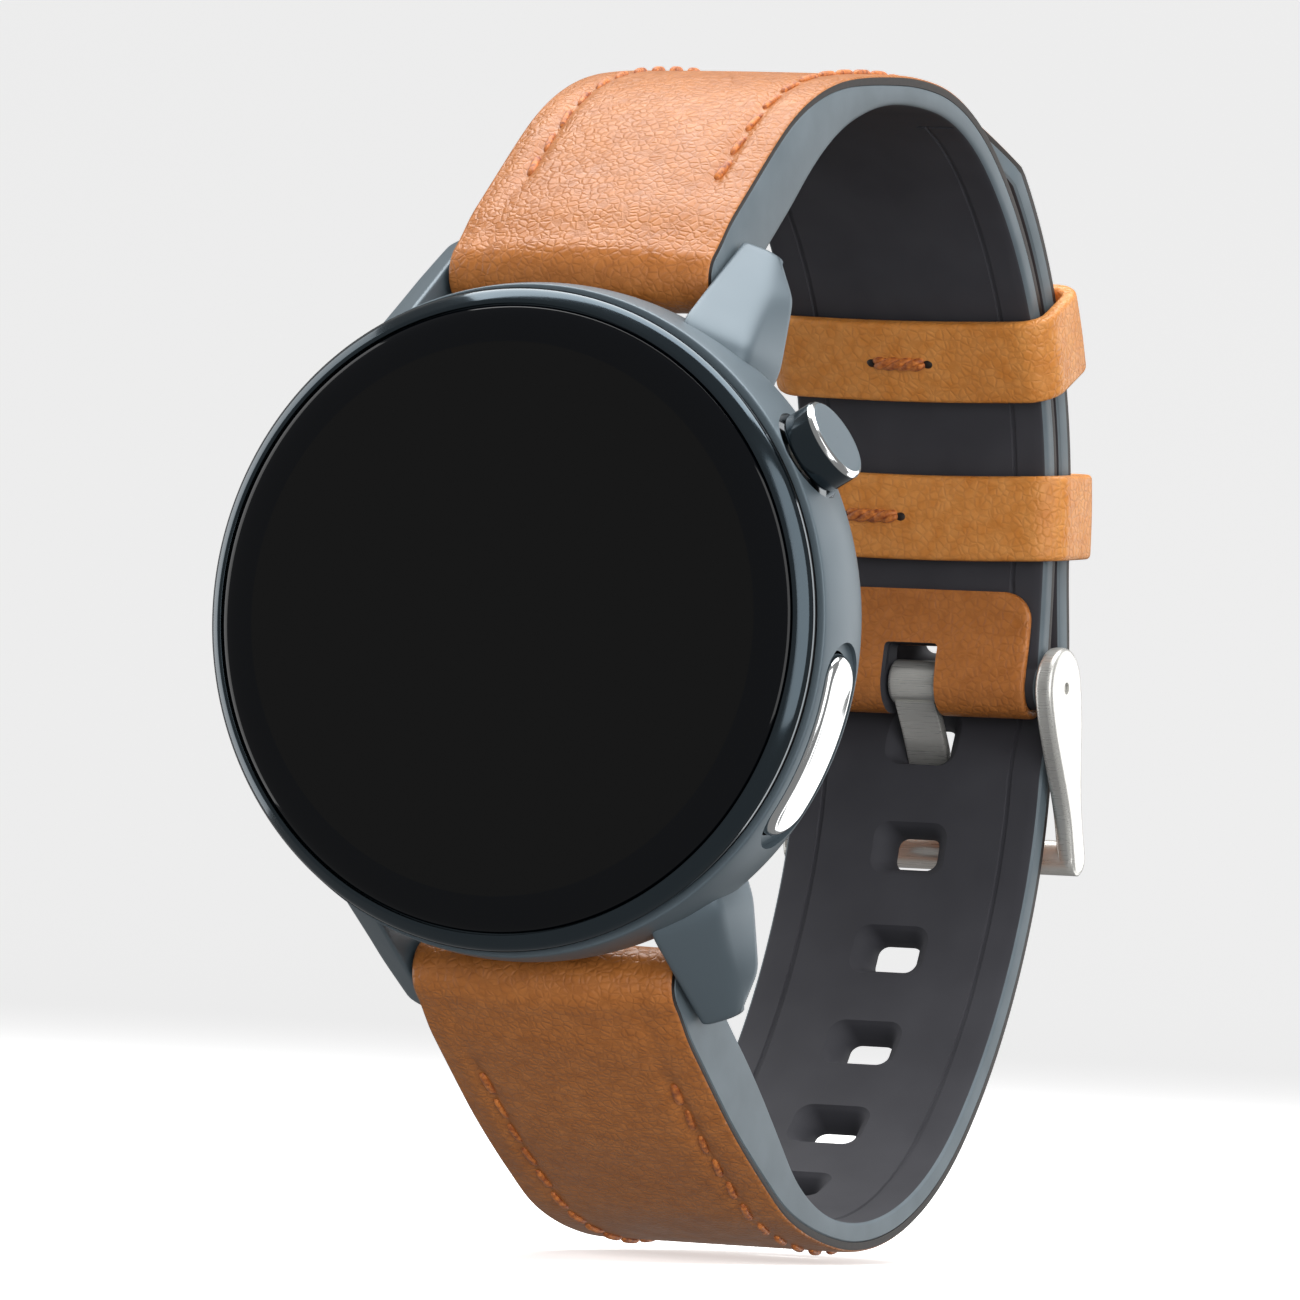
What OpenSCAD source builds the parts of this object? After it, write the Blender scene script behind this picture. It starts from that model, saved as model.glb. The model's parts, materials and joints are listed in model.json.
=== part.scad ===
// Round smartwatch, worn on a padded leather and rubber strap that is buckled shut.
// X points to the crown side, +Y from the dial through the case back to the wrist, and +Z to twelve o'clock.
// The origin is the centre of the sensor window on the case back. Units are millimetres.

/* [Case] */
// Outer diameter of the bezel ring
bezel_d = 45.8; // [45.4:0.1:46.2]
// Largest diameter of the case side
case_d = 46.9; // [46.6:0.1:47.4]
// Height from the sensor window to the glass
case_h = 11.5; // [11.4:0.1:12]
// Free space between the two lugs of a pair
lug_gap = 20.7; // [20.7:0.1:20.9]

/* [Controls] */
// Angle of the crown above three o'clock, in degrees
crown_angle = 31.5; // [28:0.5:34]
// Crown diameter
crown_d = 6.0; // [5:0.1:6.2]
// Angle of the side button, negative below three o'clock, in degrees
button_angle = -20.3; // [-23:0.1:-19]
// Length of the side button
button_len = 13.4; // [12:0.1:13.6]
// Width of the side button
button_w = 4.3; // [3.8:0.1:4.4]

/* [Strap] */
// Width of the strap at the lugs
strap_w = 20.1; // [19.9:0.1:20.1]
// How much narrower the strap is at the buckle
strap_narrow = 0; // [0:0.1:0.5]
// Thickness of the padded strap at the lugs
pad_t = 5.8; // [5.2:0.1:6]
// Thickness of the strap round the wrist
band_t = 2.2; // [2:0.05:2.3]
// How far the leather stops short of each edge
leather_inset = 0.05; // [0.05:0.05:0.5]
// Free space between the two strap layers at the back
layer_gap = 0.45; // [0.4:0.05:0.5]
// Distance between adjustment holes
hole_pitch = 8.3; // [8:0.1:8.4]
// Number of adjustment holes
hole_count = 7; // [5:1:7]

/* [Keepers and buckle] */
// Width of a keeper loop along the strap
keeper_w = 6.3; // [5.6:0.1:6.6]
// Leather thickness of a keeper loop
keeper_t = 1.1; // [0.9:0.05:1.2]
// Thickness of a buckle arm
arm_t = 1.4; // [1.2:0.1:1.6]

/* [Hidden] */

round_fn = 96;
small_fn = 32;
eps = 0.01;
run_gap = 0.05;                // radial clearance of a shaft in its hole

// Case levels, measured from the sensor window towards the dial
back_edge_z = 1.3;
front_edge_z = 8.9;
gasket_z = 9.5;
glass_z = case_h - 1.2;
crown_z = 5.5;
button_z = 5.4;
board_z = 7.6;
plate_z = 5.4;
case_r = case_d / 2;
bezel_r = bezel_d / 2;
rim_r = bezel_r - 0.25;          // the gasket sits inside this rim
cavity_r = 20.2;
ledge_r = 16;
ledge_z = 2.6;
ledge_t = 0.8;
cover_r = 19.1;
cover_t = 1;
window_r = 9.5;
screw_r = 17.2;

back_w = strap_w - strap_narrow;   // strap width at the buckle
arm_x = back_w / 2 + 0.4;

// Spring bars
bar_r = 0.9;
tip_r = 0.4;
bar_bore_r = bar_r + run_gap;
lug_bar = [0.3, 24.5];         // [y, z] of the upper lug bar; the lower one mirrors it

// Colours
satin = [0.46, 0.54, 0.60];
black = [0.05, 0.06, 0.07];
tan_leather = [0.78, 0.47, 0.22];
charcoal = [0.25, 0.25, 0.28];
steel = [0.78, 0.78, 0.76];

// Places a shape drawn with its Z axis out of the dial and its Y axis at twelve o'clock
module dial_up() { rotate([90, 0, 0]) children(); }

// Places a shape drawn along Z so that it points out through the case side
module radial(angle, z) { rotate([0, 0, angle]) translate([0, 0, z]) rotate([0, 90, 0]) children(); }

// Extrudes a [y, z] outline across the strap, centred on the middle of the watch
module across(w) { rotate([90, 0, 90]) linear_extrude(w, center = true) children(); }

module tube(r_out, r_in, h) {
    difference() {
        cylinder(h = h, r = r_out, $fn = small_fn);
        translate([0, 0, -1]) cylinder(h = h + 2, r = r_in, $fn = small_fn);
    }
}

module stadium(len, w) {
    square([w, len - w], center = true);
    for (s = [-1, 1]) translate([0, s * (len - w) / 2]) circle(d = w, $fn = small_fn);
}

module rounded_rect(w, h, r) {
    square([w - 2 * r, h], center = true);
    square([w, h - 2 * r], center = true);
    for (sx = [-1, 1], sy = [-1, 1])
        translate([sx * (w / 2 - r), sy * (h / 2 - r)]) circle(r = r, $fn = small_fn);
}

// Points on the arc through a and b that bulges by rise to the right of the way from a to b
function bulge(a, b, rise, n = 8) =
    let (c = norm(b - a), R = (c * c / 4 + rise * rise) / (2 * rise), d = (b - a) / c,
         side = [d[1], -d[0]], m = (a + b) / 2 + side * (rise - R), half = asin(c / 2 / R))
    [for (i = [0:n]) let (t = -half + 2 * half * i / n) m + R * (sin(t) * d + cos(t) * side)];

// ---- Strap route -------------------------------------------------------------------------

// A chain of arcs: each stretch is [length, heading at its end], headings are in degrees from +Y to +Z
step = 2;
function arc_point(p, h0, h1, len, u) = h0 == h1
    ? p + u * len * [cos(h0), sin(h0)]
    : let (R = len / ((h1 - h0) * PI / 180), h = h0 + (h1 - h0) * u)
      p + R * [sin(h) - sin(h0), cos(h0) - cos(h)];
function chain(p, h, parts, i = 0) = i == len(parts) ? [] :
    let (len = parts[i][0], h1 = parts[i][1], n = ceil(len / step))
    concat([for (k = [1:n]) arc_point(p, h, h1, len, k / n)],
           chain(arc_point(p, h, h1, len, 1), h1, parts, i + 1));

short_start = lug_bar;
short_parts = [[14, 40], [11.9, 14], [14.7, -4], [11.3, -34], [16.5, -62], [15.2, -88], [11.2, -93]];
short_pts = concat([short_start], chain(short_start, 40, short_parts));
buckle_bar = short_pts[len(short_pts) - 1];

long_start = [lug_bar[0], -lug_bar[1]];
long_parts = [[22.6, -36], [3.4, -24], [15.5, 10], [15.9, 45], [19.8, 70], [9.6, 86]];
rise_pts = concat([long_start], chain(long_start, -38, long_parts));
rise_end = rise_pts[len(rise_pts) - 1];

// Arc length, heading and outward side of each point of a route
function lengths(p) = [for (i = 0, s = 0; i < len(p);
    s = s + (i + 1 < len(p) ? norm(p[i + 1] - p[i]) : 0), i = i + 1) s];
function heading(p, i) = let (a = p[max(i - 1, 0)], b = p[min(i + 1, len(p) - 1)])
    atan2(b[1] - a[1], b[0] - a[0]);
function route(p) = let (s = lengths(p)) [for (i = [0:len(p) - 1]) [p[i][0], p[i][1], heading(p, i), s[i]]];
function shifted(q, d) = [q[0] - sin(q[2]) * d, q[1] + cos(q[2]) * d];
function lerp(a, b, u) = a + (b - a) * u;
function at(r, s, i = 0) = (i >= len(r) - 2 || r[i + 1][3] >= s)
    ? lerp(r[i], r[i + 1], (s - r[i][3]) / (r[i + 1][3] - r[i][3])) : at(r, s, i + 1);

short_route = route(short_pts);
short_len = short_route[len(short_route) - 1][3];

// The tail lies on the short strap, one band and one gap further out
tail_from = short_len - 10.5;
tail_to = 50.5;
tail_lift = band_t + layer_gap;
tail_pts = [for (i = [len(short_route) - 1:-1:0]) let (q = short_route[i])
    if (q[3] <= tail_from && q[3] >= tail_to) shifted(q, tail_lift)];
fold_r = 2.4;                  // outer radius of the strap's fold round the buckle bar
over_bar = buckle_bar + [fold_r + layer_gap + band_t / 2 - 0.05, 0.6];
function bezier(a, b, c, d, n) = [for (k = [1:n]) let (u = k / n, v = 1 - u)
    v * v * v * a + 3 * v * v * u * b + 3 * v * u * u * c + u * u * u * d];
long_pts = concat(rise_pts,
    bezier(rise_end, rise_end + 2.6 * [cos(86), sin(86)], over_bar - [0, 2.8], over_bar, 6),
    bezier(over_bar, over_bar + [0, 3], tail_pts[0] - [0, 3.4], tail_pts[0], 6),
    [for (i = [1:len(tail_pts) - 1]) tail_pts[i]]);
long_route = route(long_pts);
long_len = long_route[len(long_route) - 1][3];

// Padding: full thickness near the lug, then an even taper to the band
taper_from = 11;
taper_to = 34;
function ease(u) = let (c = min(max(u, 0), 1)) c * c * (3 - 2 * c);
function strap_t(s) = lerp(pad_t, band_t, ease((s - taper_from) / (taper_to - taper_from)))
    - 0.8 * (1 - ease(s / 4));
function skin_t(s) = lerp(1.6, 0.7, ease((s - taper_from) / (taper_to - taper_from)));

// Half a circle round the start of a route, from its outer side to its inner side
function end_arc(r, radius, out) = [for (k = [0:12]) let (a = r[0][2] + out * (90 + 15 * k))
    [r[0][0], r[0][1]] + radius * [cos(a), sin(a)]];
function reversed(p) = [for (i = [len(p) - 1:-1:0]) p[i]];

// The rubber layer has a round core at the lug, and the leather wraps round the front of it.
// Out is 1 where outwards is left of the heading, else -1.
lug_core_r = 1.7;
function skin_edge(r, out) = [for (q = r) shifted(q, out * (strap_t(q[3]) / 2 - skin_t(q[3])))];
module liner_outline(r, out) {
    polygon(concat([for (q = r) shifted(q, -out * strap_t(q[3]) / 2)], reversed(skin_edge(r, out)),
        end_arc(r, lug_core_r, out)));
}
module leather_outline(r, out) {
    polygon(concat(skin_edge(r, out), reversed([for (q = r) shifted(q, out * strap_t(q[3]) / 2)]),
        end_arc(r, strap_t(0) / 2, out), reversed(end_arc(r, lug_core_r + eps, out))));
}

// Extrudes a strap outline; the strap is a little narrower at the buckle than at the lugs
narrow_to = 40;
function strap_half(w, y) = w / 2 - strap_narrow / 2 * min(max(y / narrow_to, 0), 1);
module strap_across(w) {
    plan = [[w / 2, -20], [w / 2, 0], [strap_half(w, narrow_to), narrow_to], [strap_half(w, narrow_to), 90]];
    intersection() {
        across(w + 2) children();
        linear_extrude(120, center = true)
            polygon(concat(plan, [for (i = [3:-1:0]) [-plan[i][0], plan[i][1]]]));
    }
}
module bar_hole(start) { translate(start) circle(r = bar_bore_r, $fn = small_fn); }

// Puts children at a distance along a route: X across, Y along the strap, Z to its left
module on_route(r, s) {
    q = at(r, s);
    translate([0, q[0], q[1]]) rotate([q[2], 0, 0]) children();
}

// ---- Case -------------------------------------------------------------------------------

module case_ring() {
    rotate_extrude($fn = round_fn) polygon(concat(
        [[cover_r + 0.1, back_edge_z], [case_r - 1.35, back_edge_z]],
        bulge([case_r - 0.35, 2.3], [case_r - 0.15, front_edge_z - 0.3], 0.3),
        [[case_r - 0.35, front_edge_z], [rim_r, front_edge_z], [rim_r, 8.5], [cavity_r, 8.5],
         [cavity_r, ledge_z + ledge_t], [ledge_r, ledge_z + ledge_t], [ledge_r, ledge_z],
         [cover_r + 0.1, ledge_z]]));
}

// One lug: a faceted horn with soft edges that sweeps back from the case side
lug_edge_r = 0.5;
lug_corners = [
    [lug_gap / 2 + 0.5, 18.2, 6.6],   // inner face, inside the case wall
    [lug_gap / 2 + 0.5, 21.1, 6.7],   // inner face, front
    [lug_gap / 2 + 0.5, 26.7, -1.9],  // tip, front
    [lug_gap / 2 + 0.5, 25.7, -2.9],  // tip, back
    [lug_gap / 2 + 0.5, 18.5, 1.0],   // inner face, back
    [12.2, 26.0, -2.7],               // tip, outer side
    [14.4, 19.0, 4.9],                // ridge between the two facets
    [13.9, 22.9, -2.3],               // outer side, back
    [14.6, 17.9, 0.6]];
module lug() { hull() for (c = lug_corners) translate(c) sphere(r = lug_edge_r, $fn = 24); }

crown_pocket_r = crown_d / 2 + 0.35;
pocket_floor = 22.75;
button_floor = 21;
module crown_space() {
    radial(crown_angle, crown_z) {
        translate([0, 0, 18]) cylinder(h = 6, r = 1.62, $fn = small_fn);
        translate([0, 0, pocket_floor]) cylinder(h = 4, r = crown_pocket_r, $fn = 64);
    }
}
module plunger_places() { for (s = [-1, 1]) translate([0, s * 3.6, 0]) children(); }
module button_space() {
    radial(button_angle, button_z) {
        translate([0, 0, button_floor]) linear_extrude(4) stadium(button_len + 0.3, button_w + 0.3);
        plunger_places() {
            translate([0, 0, 18]) cylinder(h = 4, r = 0.5 + run_gap, $fn = small_fn);
            translate([0, 0, 18]) cylinder(h = 2.6, r = 1, $fn = small_fn);
        }
    }
    difference() {
        radial(button_angle, button_z) translate([0, 0, 20]) linear_extrude(5)
            stadium(button_len + 1.9, button_w + 1.3);
        cylinder(h = case_h, r = case_r - 0.55, $fn = round_fn);
    }
}
module lug_bar_holes() {
    for (s = [-1, 1]) translate([0, s * lug_bar[1], -lug_bar[0]]) rotate([0, 90, 0])
        cylinder(h = lug_gap + 2.6, r = tip_r + run_gap, center = true, $fn = small_fn);
}
module screw_places() { for (a = [45:90:315]) rotate([0, 0, a]) translate([screw_r, 0, 0]) children(); }

module mid_case() {
    color(satin) dial_up() difference() {
        union() {
            case_ring();
            for (mx = [0, 1], my = [0, 1]) mirror([mx, 0, 0]) mirror([0, my, 0]) lug();
        }
        crown_space();
        button_space();
        lug_bar_holes();
        screw_places() cylinder(h = 6, r = 0.42, $fn = small_fn);
    }
}

module bezel_gasket() {
    color(black) dial_up() translate([0, 0, 8.5]) difference() {
        cylinder(h = gasket_z - 8.5, r = rim_r - 0.02, $fn = round_fn);
        translate([0, 0, -1]) cylinder(h = 3, r = 20.6, $fn = round_fn);
    }
}

module bezel_ring() {
    color([0.3, 0.36, 0.4]) dial_up() rotate_extrude($fn = round_fn) polygon(concat(
        [[20.6, gasket_z], [bezel_r - 0.15, gasket_z], [bezel_r, gasket_z + 0.2]],
        bulge([bezel_r, gasket_z + 0.6], [21.75, case_h - 0.5], 0.22, 6),
        [[21.75, glass_z - 0.05], [20.6, glass_z - 0.05]]));
}

module cover_glass() {
    color(black) dial_up() rotate_extrude($fn = round_fn) polygon(concat(
        [[0, glass_z], [21.65, glass_z], [21.65, case_h - 0.75]],
        bulge([21.5, case_h - 0.55], [19.8, case_h], 0.12, 6), [[0, case_h]]));
}

module display_panel() {
    color([0.1, 0.1, 0.1]) dial_up() translate([0, 0, gasket_z + 0.02])
        cylinder(h = glass_z - gasket_z - 0.04, r = 19.4, $fn = round_fn);
}

module display_flex() {
    color([0.7, 0.45, 0.15]) dial_up() translate([-4, -17, board_z + 0.75]) cube([8, 7, 1.1]);
}

// Room for the controls where they reach into the case
module control_room() {
    radial(crown_angle, crown_z) translate([-2.3, -2.6, 14.5]) cube([4.6, 5.2, 6]);
    radial(button_angle, button_z) translate([-1.7, -6.3, 16.6]) cube([3.4, 12.6, 4]);
}

module inner_frame() {
    color([0.2, 0.2, 0.22]) dial_up() difference() {
        translate([0, 0, plate_z]) cylinder(h = 8.4 - plate_z, r = cavity_r - 0.2, $fn = round_fn);
        translate([0, 0, plate_z + 0.7]) cylinder(h = 4, r = 18.8, $fn = round_fn);
        control_room();
    }
}

module main_board() {
    color([0.08, 0.3, 0.18]) dial_up() translate([0, 0, board_z]) cylinder(h = 0.7, r = 18.5, $fn = round_fn);
}

module shield_can() {
    color(steel) dial_up() translate([-12, -6, board_z - 1.25]) cube([13, 12, 1.2]);
}

module battery() {
    color([0.75, 0.76, 0.78]) dial_up() translate([-1, 0, ledge_z]) linear_extrude(2.7)
        rounded_rect(22, 16, 1.5);
}

motor_pos = [-6.5, -12, 3.5];
motor_h = 1.8;
module motor_can() {
    color(steel) dial_up() translate(motor_pos) difference() {
        cylinder(h = motor_h, r = 3.6, $fn = small_fn);
        translate([0, 0, 0.2]) cylinder(h = motor_h - 0.4, r = 3.35, $fn = small_fn);
    }
}

// Half of the rotor is a heavy weight, so that it shakes as it spins
module motor_rotor() {
    color([0.6, 0.5, 0.35]) dial_up() translate(motor_pos + [0, 0, 0.4]) {
        cylinder(h = motor_h - 0.8, r = 0.6, $fn = small_fn);
        intersection() {
            cylinder(h = 0.6, r = 3.1, $fn = small_fn);
            translate([-4, 0, 0]) cube([8, 4, 1]);
        }
    }
}

module speaker() {
    color([0.15, 0.15, 0.16]) dial_up() translate([-11.5, 9.6, 3.5]) cube([11.5, 5.4, 1.8]);
}

module sensor_board() {
    color([0.1, 0.2, 0.14]) dial_up() translate([0, 0, 1.32]) cylinder(h = 0.5, r = 8.6, $fn = 64);
}

module sensor_window() {
    color(black) dial_up() cylinder(h = 1.2, r = window_r, $fn = round_fn);
}

module pin_places() { for (s = [-1, 1]) translate([s * 2.4, -13, 0]) children(); }

module back_cover() {
    color([0.12, 0.12, 0.13]) dial_up() difference() {
        rotate_extrude($fn = round_fn) polygon([[window_r + 0.1, 0.1], [11, 0.1], [13.4, 0.75],
            [17.6, 1.15], [cover_r - 0.2, 1.2], [cover_r, 1.4], [cover_r, 2.3], [8.8, 2.3],
            [8.8, 1.25], [window_r + 0.1, 1.25]]);
        screw_places() {
            cylinder(h = 6, r = 0.45, $fn = small_fn);
            cylinder(h = 1.6, r = 0.9, $fn = small_fn);
        }
        pin_places() cylinder(h = 6, r = 0.95, $fn = small_fn);
    }
}

module back_seal() {
    color(black) dial_up() translate([0, 0, 2.32]) difference() {
        cylinder(h = ledge_z - 2.34, r = 18.9, $fn = round_fn);
        translate([0, 0, -1]) cylinder(h = 3, r = 18.2, $fn = round_fn);
    }
}

module back_screws() {
    color(steel) dial_up() screw_places() difference() {
        union() {
            translate([0, 0, 1.15]) cylinder(h = 0.43, r = 0.85, $fn = small_fn);
            translate([0, 0, 1.3]) cylinder(h = 2, r = 0.4, $fn = small_fn);
        }
        for (a = [0, 90]) rotate([0, 0, a]) translate([-0.55, -0.1, 1]) cube([1.1, 0.2, 0.35]);
    }
}

module charging_pins() {
    color([0.85, 0.7, 0.35]) dial_up() pin_places() translate([0, 0, 0.7])
        cylinder(h = 1.8, r = 0.9, $fn = small_fn);
}

// ---- Crown ------------------------------------------------------------------------------

crown_base = 23.35;
crown_face = 25.8;
stem_r = 0.8;
module crown_axis() { dial_up() radial(crown_angle, crown_z) children(); }

module crown_tube() {
    color(steel) crown_axis() translate([0, 0, 19.9]) tube(1.6, stem_r + run_gap, pocket_floor - 19.95);
}

module crown_cap() {
    r = crown_d / 2;
    color([0.35, 0.4, 0.45]) crown_axis() rotate_extrude($fn = 64) polygon([[0, 24.3],
        [stem_r + 0.01, 24.3], [stem_r + 0.01, crown_base], [r - 0.15, crown_base],
        [r, crown_base + 0.15], [r, crown_face - 0.4], [r - 0.3, crown_face], [0, crown_face]]);
}

module crown_stem() {
    color(steel) crown_axis() difference() {
        translate([0, 0, 18]) cylinder(h = 6.25, r = stem_r, $fn = small_fn);
        translate([0, 0, 21]) tube(1.2, 0.55, 0.5);
        translate([0, 0, 19.5]) tube(1.2, 0.5, 0.25);
        translate([0.55, -1, 17]) cube([1, 2, 2.3]);
    }
}

module crown_seal() { color(black) crown_axis() translate([0, 0, 21.03]) tube(0.83, 0.56, 0.44); }

module crown_clip() { color(steel) crown_axis() translate([0, 0, 19.52]) tube(1.35, 0.51, 0.2); }

// The wheel turns with the stem, which slides through its flat-sided hole
module crown_encoder_wheel() {
    color([0.25, 0.25, 0.28]) crown_axis() translate([0, 0, 18.1]) difference() {
        cylinder(h = 0.6, r = 1.9, $fn = small_fn);
        intersection() {
            translate([0, 0, -1]) cylinder(h = 3, r = stem_r + run_gap, $fn = small_fn);
            translate([-2, -2, -1]) cube([2.6, 4, 3]);
        }
    }
}

module crown_switch() {
    color(black) crown_axis() {
        translate([-1.5, -1.5, 16.2]) cube([3, 3, 0.9]);
        translate([0, 0, 17.1]) cylinder(h = 0.35, r = 0.7, $fn = small_fn);
    }
}

// ---- Side button ------------------------------------------------------------------------

module button_axis() { dial_up() radial(button_angle, button_z) children(); }

module side_button_cap() {
    color(steel) dial_up() intersection() {
        radial(button_angle, button_z) translate([0, 0, button_floor + 0.5]) linear_extrude(4)
            stadium(button_len, button_w);
        cylinder(h = case_h, r = case_r + 0.05, $fn = round_fn);
    }
}

module side_button_plungers() {
    color(steel) button_axis() plunger_places() translate([0, 0, 19.2])
        cylinder(h = button_floor + 0.5 - 19.2, r = 0.5, $fn = small_fn);
}

module side_button_seals() {
    color(black) button_axis() plunger_places() translate([0, 0, 20.1]) tube(0.95, 0.53, 0.45);
}

module side_button_switch() {
    color(black) button_axis() {
        translate([-1, -5, 17.4]) cube([2, 10, 0.9]);
        plunger_places() translate([0, 0, 18.3]) cylinder(h = 0.4, r = 0.6, $fn = small_fn);
    }
}

// ---- Spring bars ------------------------------------------------------------------------

// A bar is a tube with a sprung tip in each end; its axis runs along X
module bar_tube(pos, len) {
    color(steel) translate([0, pos[0], pos[1]]) rotate([0, 90, 0]) difference() {
        cylinder(h = len, r = bar_r, center = true, $fn = small_fn);
        cylinder(h = len + 2, r = 0.6, center = true, $fn = small_fn);
    }
}
module bar_tip(pos, len, side, reach) {
    color(steel) translate([0, pos[0], pos[1]]) rotate([0, side * 90, 0]) {
        translate([0, 0, len / 2 - 4]) cylinder(h = 4.1, r = 0.57, $fn = small_fn);
        translate([0, 0, len / 2]) cylinder(h = reach - len / 2, r = tip_r, $fn = small_fn);
    }
}
lug_bar_len = 18.2;
lug_bar_reach = lug_gap / 2 + 1.1;
buckle_bar_len = 17.4;
buckle_bar_reach = arm_x + arm_t - 0.2;
lower_lug_bar = [lug_bar[0], -lug_bar[1]];
module upper_bar_tube() { bar_tube(lug_bar, lug_bar_len); }
module upper_bar_tip_left() { bar_tip(lug_bar, lug_bar_len, -1, lug_bar_reach); }
module upper_bar_tip_right() { bar_tip(lug_bar, lug_bar_len, 1, lug_bar_reach); }
module lower_bar_tube() { bar_tube(lower_lug_bar, lug_bar_len); }
module lower_bar_tip_left() { bar_tip(lower_lug_bar, lug_bar_len, -1, lug_bar_reach); }
module lower_bar_tip_right() { bar_tip(lower_lug_bar, lug_bar_len, 1, lug_bar_reach); }
module buckle_bar_tube() { bar_tube(buckle_bar, buckle_bar_len); }
module buckle_bar_tip_left() { bar_tip(buckle_bar, buckle_bar_len, -1, buckle_bar_reach); }
module buckle_bar_tip_right() { bar_tip(buckle_bar, buckle_bar_len, 1, buckle_bar_reach); }

// ---- Strap ------------------------------------------------------------------------------

leather_w = strap_w - 2 * leather_inset;
tongue_loop_w = 3.9;
fold_core_r = 1.7;
tongue_slot_z = buckle_bar[1] + 2.8;

// The slot in the fold where the tongue's loop sits on the bar
module tongue_slot() {
    translate([-tongue_loop_w / 2 - 0.2, buckle_bar[0] - 6, buckle_bar[1] - 6])
        cube([tongue_loop_w + 0.4, 12, tongue_slot_z - buckle_bar[1] + 6]);
}
module band_end() { translate(buckle_bar) circle(r = fold_core_r, $fn = 48); }

module short_strap_liner() {
    color(charcoal) difference() {
        strap_across(strap_w) difference() {
            union() {
                liner_outline(short_route, 1);
                band_end();
            }
            bar_hole(short_start);
            bar_hole(buckle_bar);
        }
        tongue_slot();
    }
}

module short_strap_leather() {
    color(tan_leather) difference() {
        strap_across(leather_w) difference() {
            leather_outline(short_route, 1);
            translate(buckle_bar) circle(r = fold_r + eps, $fn = 48);
        }
        tongue_slot();
    }
}

// The leather that folds round the buckle bar and is glued to the inner face
patch_len = 6.9;
patch_t = 0.7;
patch_from = 2;                // where the strip leaves the fold, before the bar
fold_turn = short_route[len(short_route) - 1][2];
function fold_point(r, a) = buckle_bar + r * [cos(fold_turn + 90 - a), sin(fold_turn + 90 - a)];
function fold_arc(r, low, high) = [for (k = [0:24])
    fold_point(r, lerp(360 - acos(low / r), -acos(high / r), k / 24))];
function patch_edge(d) = [for (k = [0:4])
    shifted(at(short_route, short_len - lerp(patch_from, patch_len, k / 4)), -band_t / 2 - d)];
module short_strap_patch() {
    top = band_t / 2 - skin_t(short_len) + eps;
    color(tan_leather) difference() {
        strap_across(strap_w - 1.2) polygon(concat(reversed(patch_edge(eps)),
            fold_arc(fold_core_r + 0.03, -band_t / 2 - eps, top),
            reversed(fold_arc(fold_r, -band_t / 2 - patch_t, top)), patch_edge(patch_t)));
        tongue_slot();
    }
}

stitch_from = 8.3;
stitch_pitch = 3;
stitch_count = 14;
stitch_in = 2.7;                // from the edge of the leather
module stitching(r, out) {
    color([0.85, 0.42, 0.12]) for (k = [0:stitch_count - 1], sx = [-1, 1]) {
        s = stitch_from + stitch_pitch * (k + 0.5);
        x = strap_half(leather_w, at(r, s)[0]) - stitch_in;
        on_route(r, s) translate([sx * x, 0, out * (strap_t(s) / 2 + 0.3)]) rotate([0, 0, sx * out * 8])
            cube([0.5, 2.3, 0.4], center = true);
    }
}
module short_strap_stitching() { stitching(short_route, 1); }

// Adjustment holes, counted from the one that holds the tongue
tongue_hole_s = 89.5;
hole_w = 4.1;
hole_len = 3.2;
hole_flare = 0.7;                // the holes are wider at the inner face
module adjustment_holes() {
    for (k = [-1:hole_count - 2]) on_route(long_route, tongue_hole_s - k * hole_pitch)
        union() {
            linear_extrude(8, center = true) rounded_rect(hole_w, hole_len, 0.9);
            translate([0, 0, band_t / 2 - hole_flare]) linear_extrude(4)
                rounded_rect(hole_w + 2 * hole_flare, hole_len + 2 * hole_flare, 1.2);
        }
}

// The tail ends in a blunt point
tip_len = 6;
tip_in = 2.8;
module tip_corners() {
    on_route(long_route, long_len - tip_len) for (sx = [-1, 1])
        linear_extrude(8, center = true) polygon([[sx * back_w / 2, 0], [sx * strap_w, 0],
            [sx * strap_w, tip_len + 2], [sx * (back_w / 2 - tip_in), tip_len + 2],
            [sx * (back_w / 2 - tip_in), tip_len]]);
}

module long_strap_liner() {
    color(charcoal) difference() {
        strap_across(strap_w) difference() {
            liner_outline(long_route, -1);
            bar_hole(long_start);
        }
        adjustment_holes();
        tip_corners();
    }
}

module long_strap_leather() {
    color(tan_leather) difference() {
        strap_across(leather_w) leather_outline(long_route, -1);
        adjustment_holes();
        tip_corners();
    }
}

module long_strap_stitching() { stitching(long_route, -1); }

// ---- Keepers ----------------------------------------------------------------------------

keeper_in_gap = 0.55;          // between the keeper and the short strap's inner face
keeper_out_gap = 0.65;         // between the keeper and the tail
keeper_side_gap = 0.45;
upper_keeper_s = 69.5;
lower_keeper_s = 82.2;
keeper_low = -band_t / 2 - keeper_in_gap;
keeper_high = band_t / 2 + tail_lift + keeper_out_gap;

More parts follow.
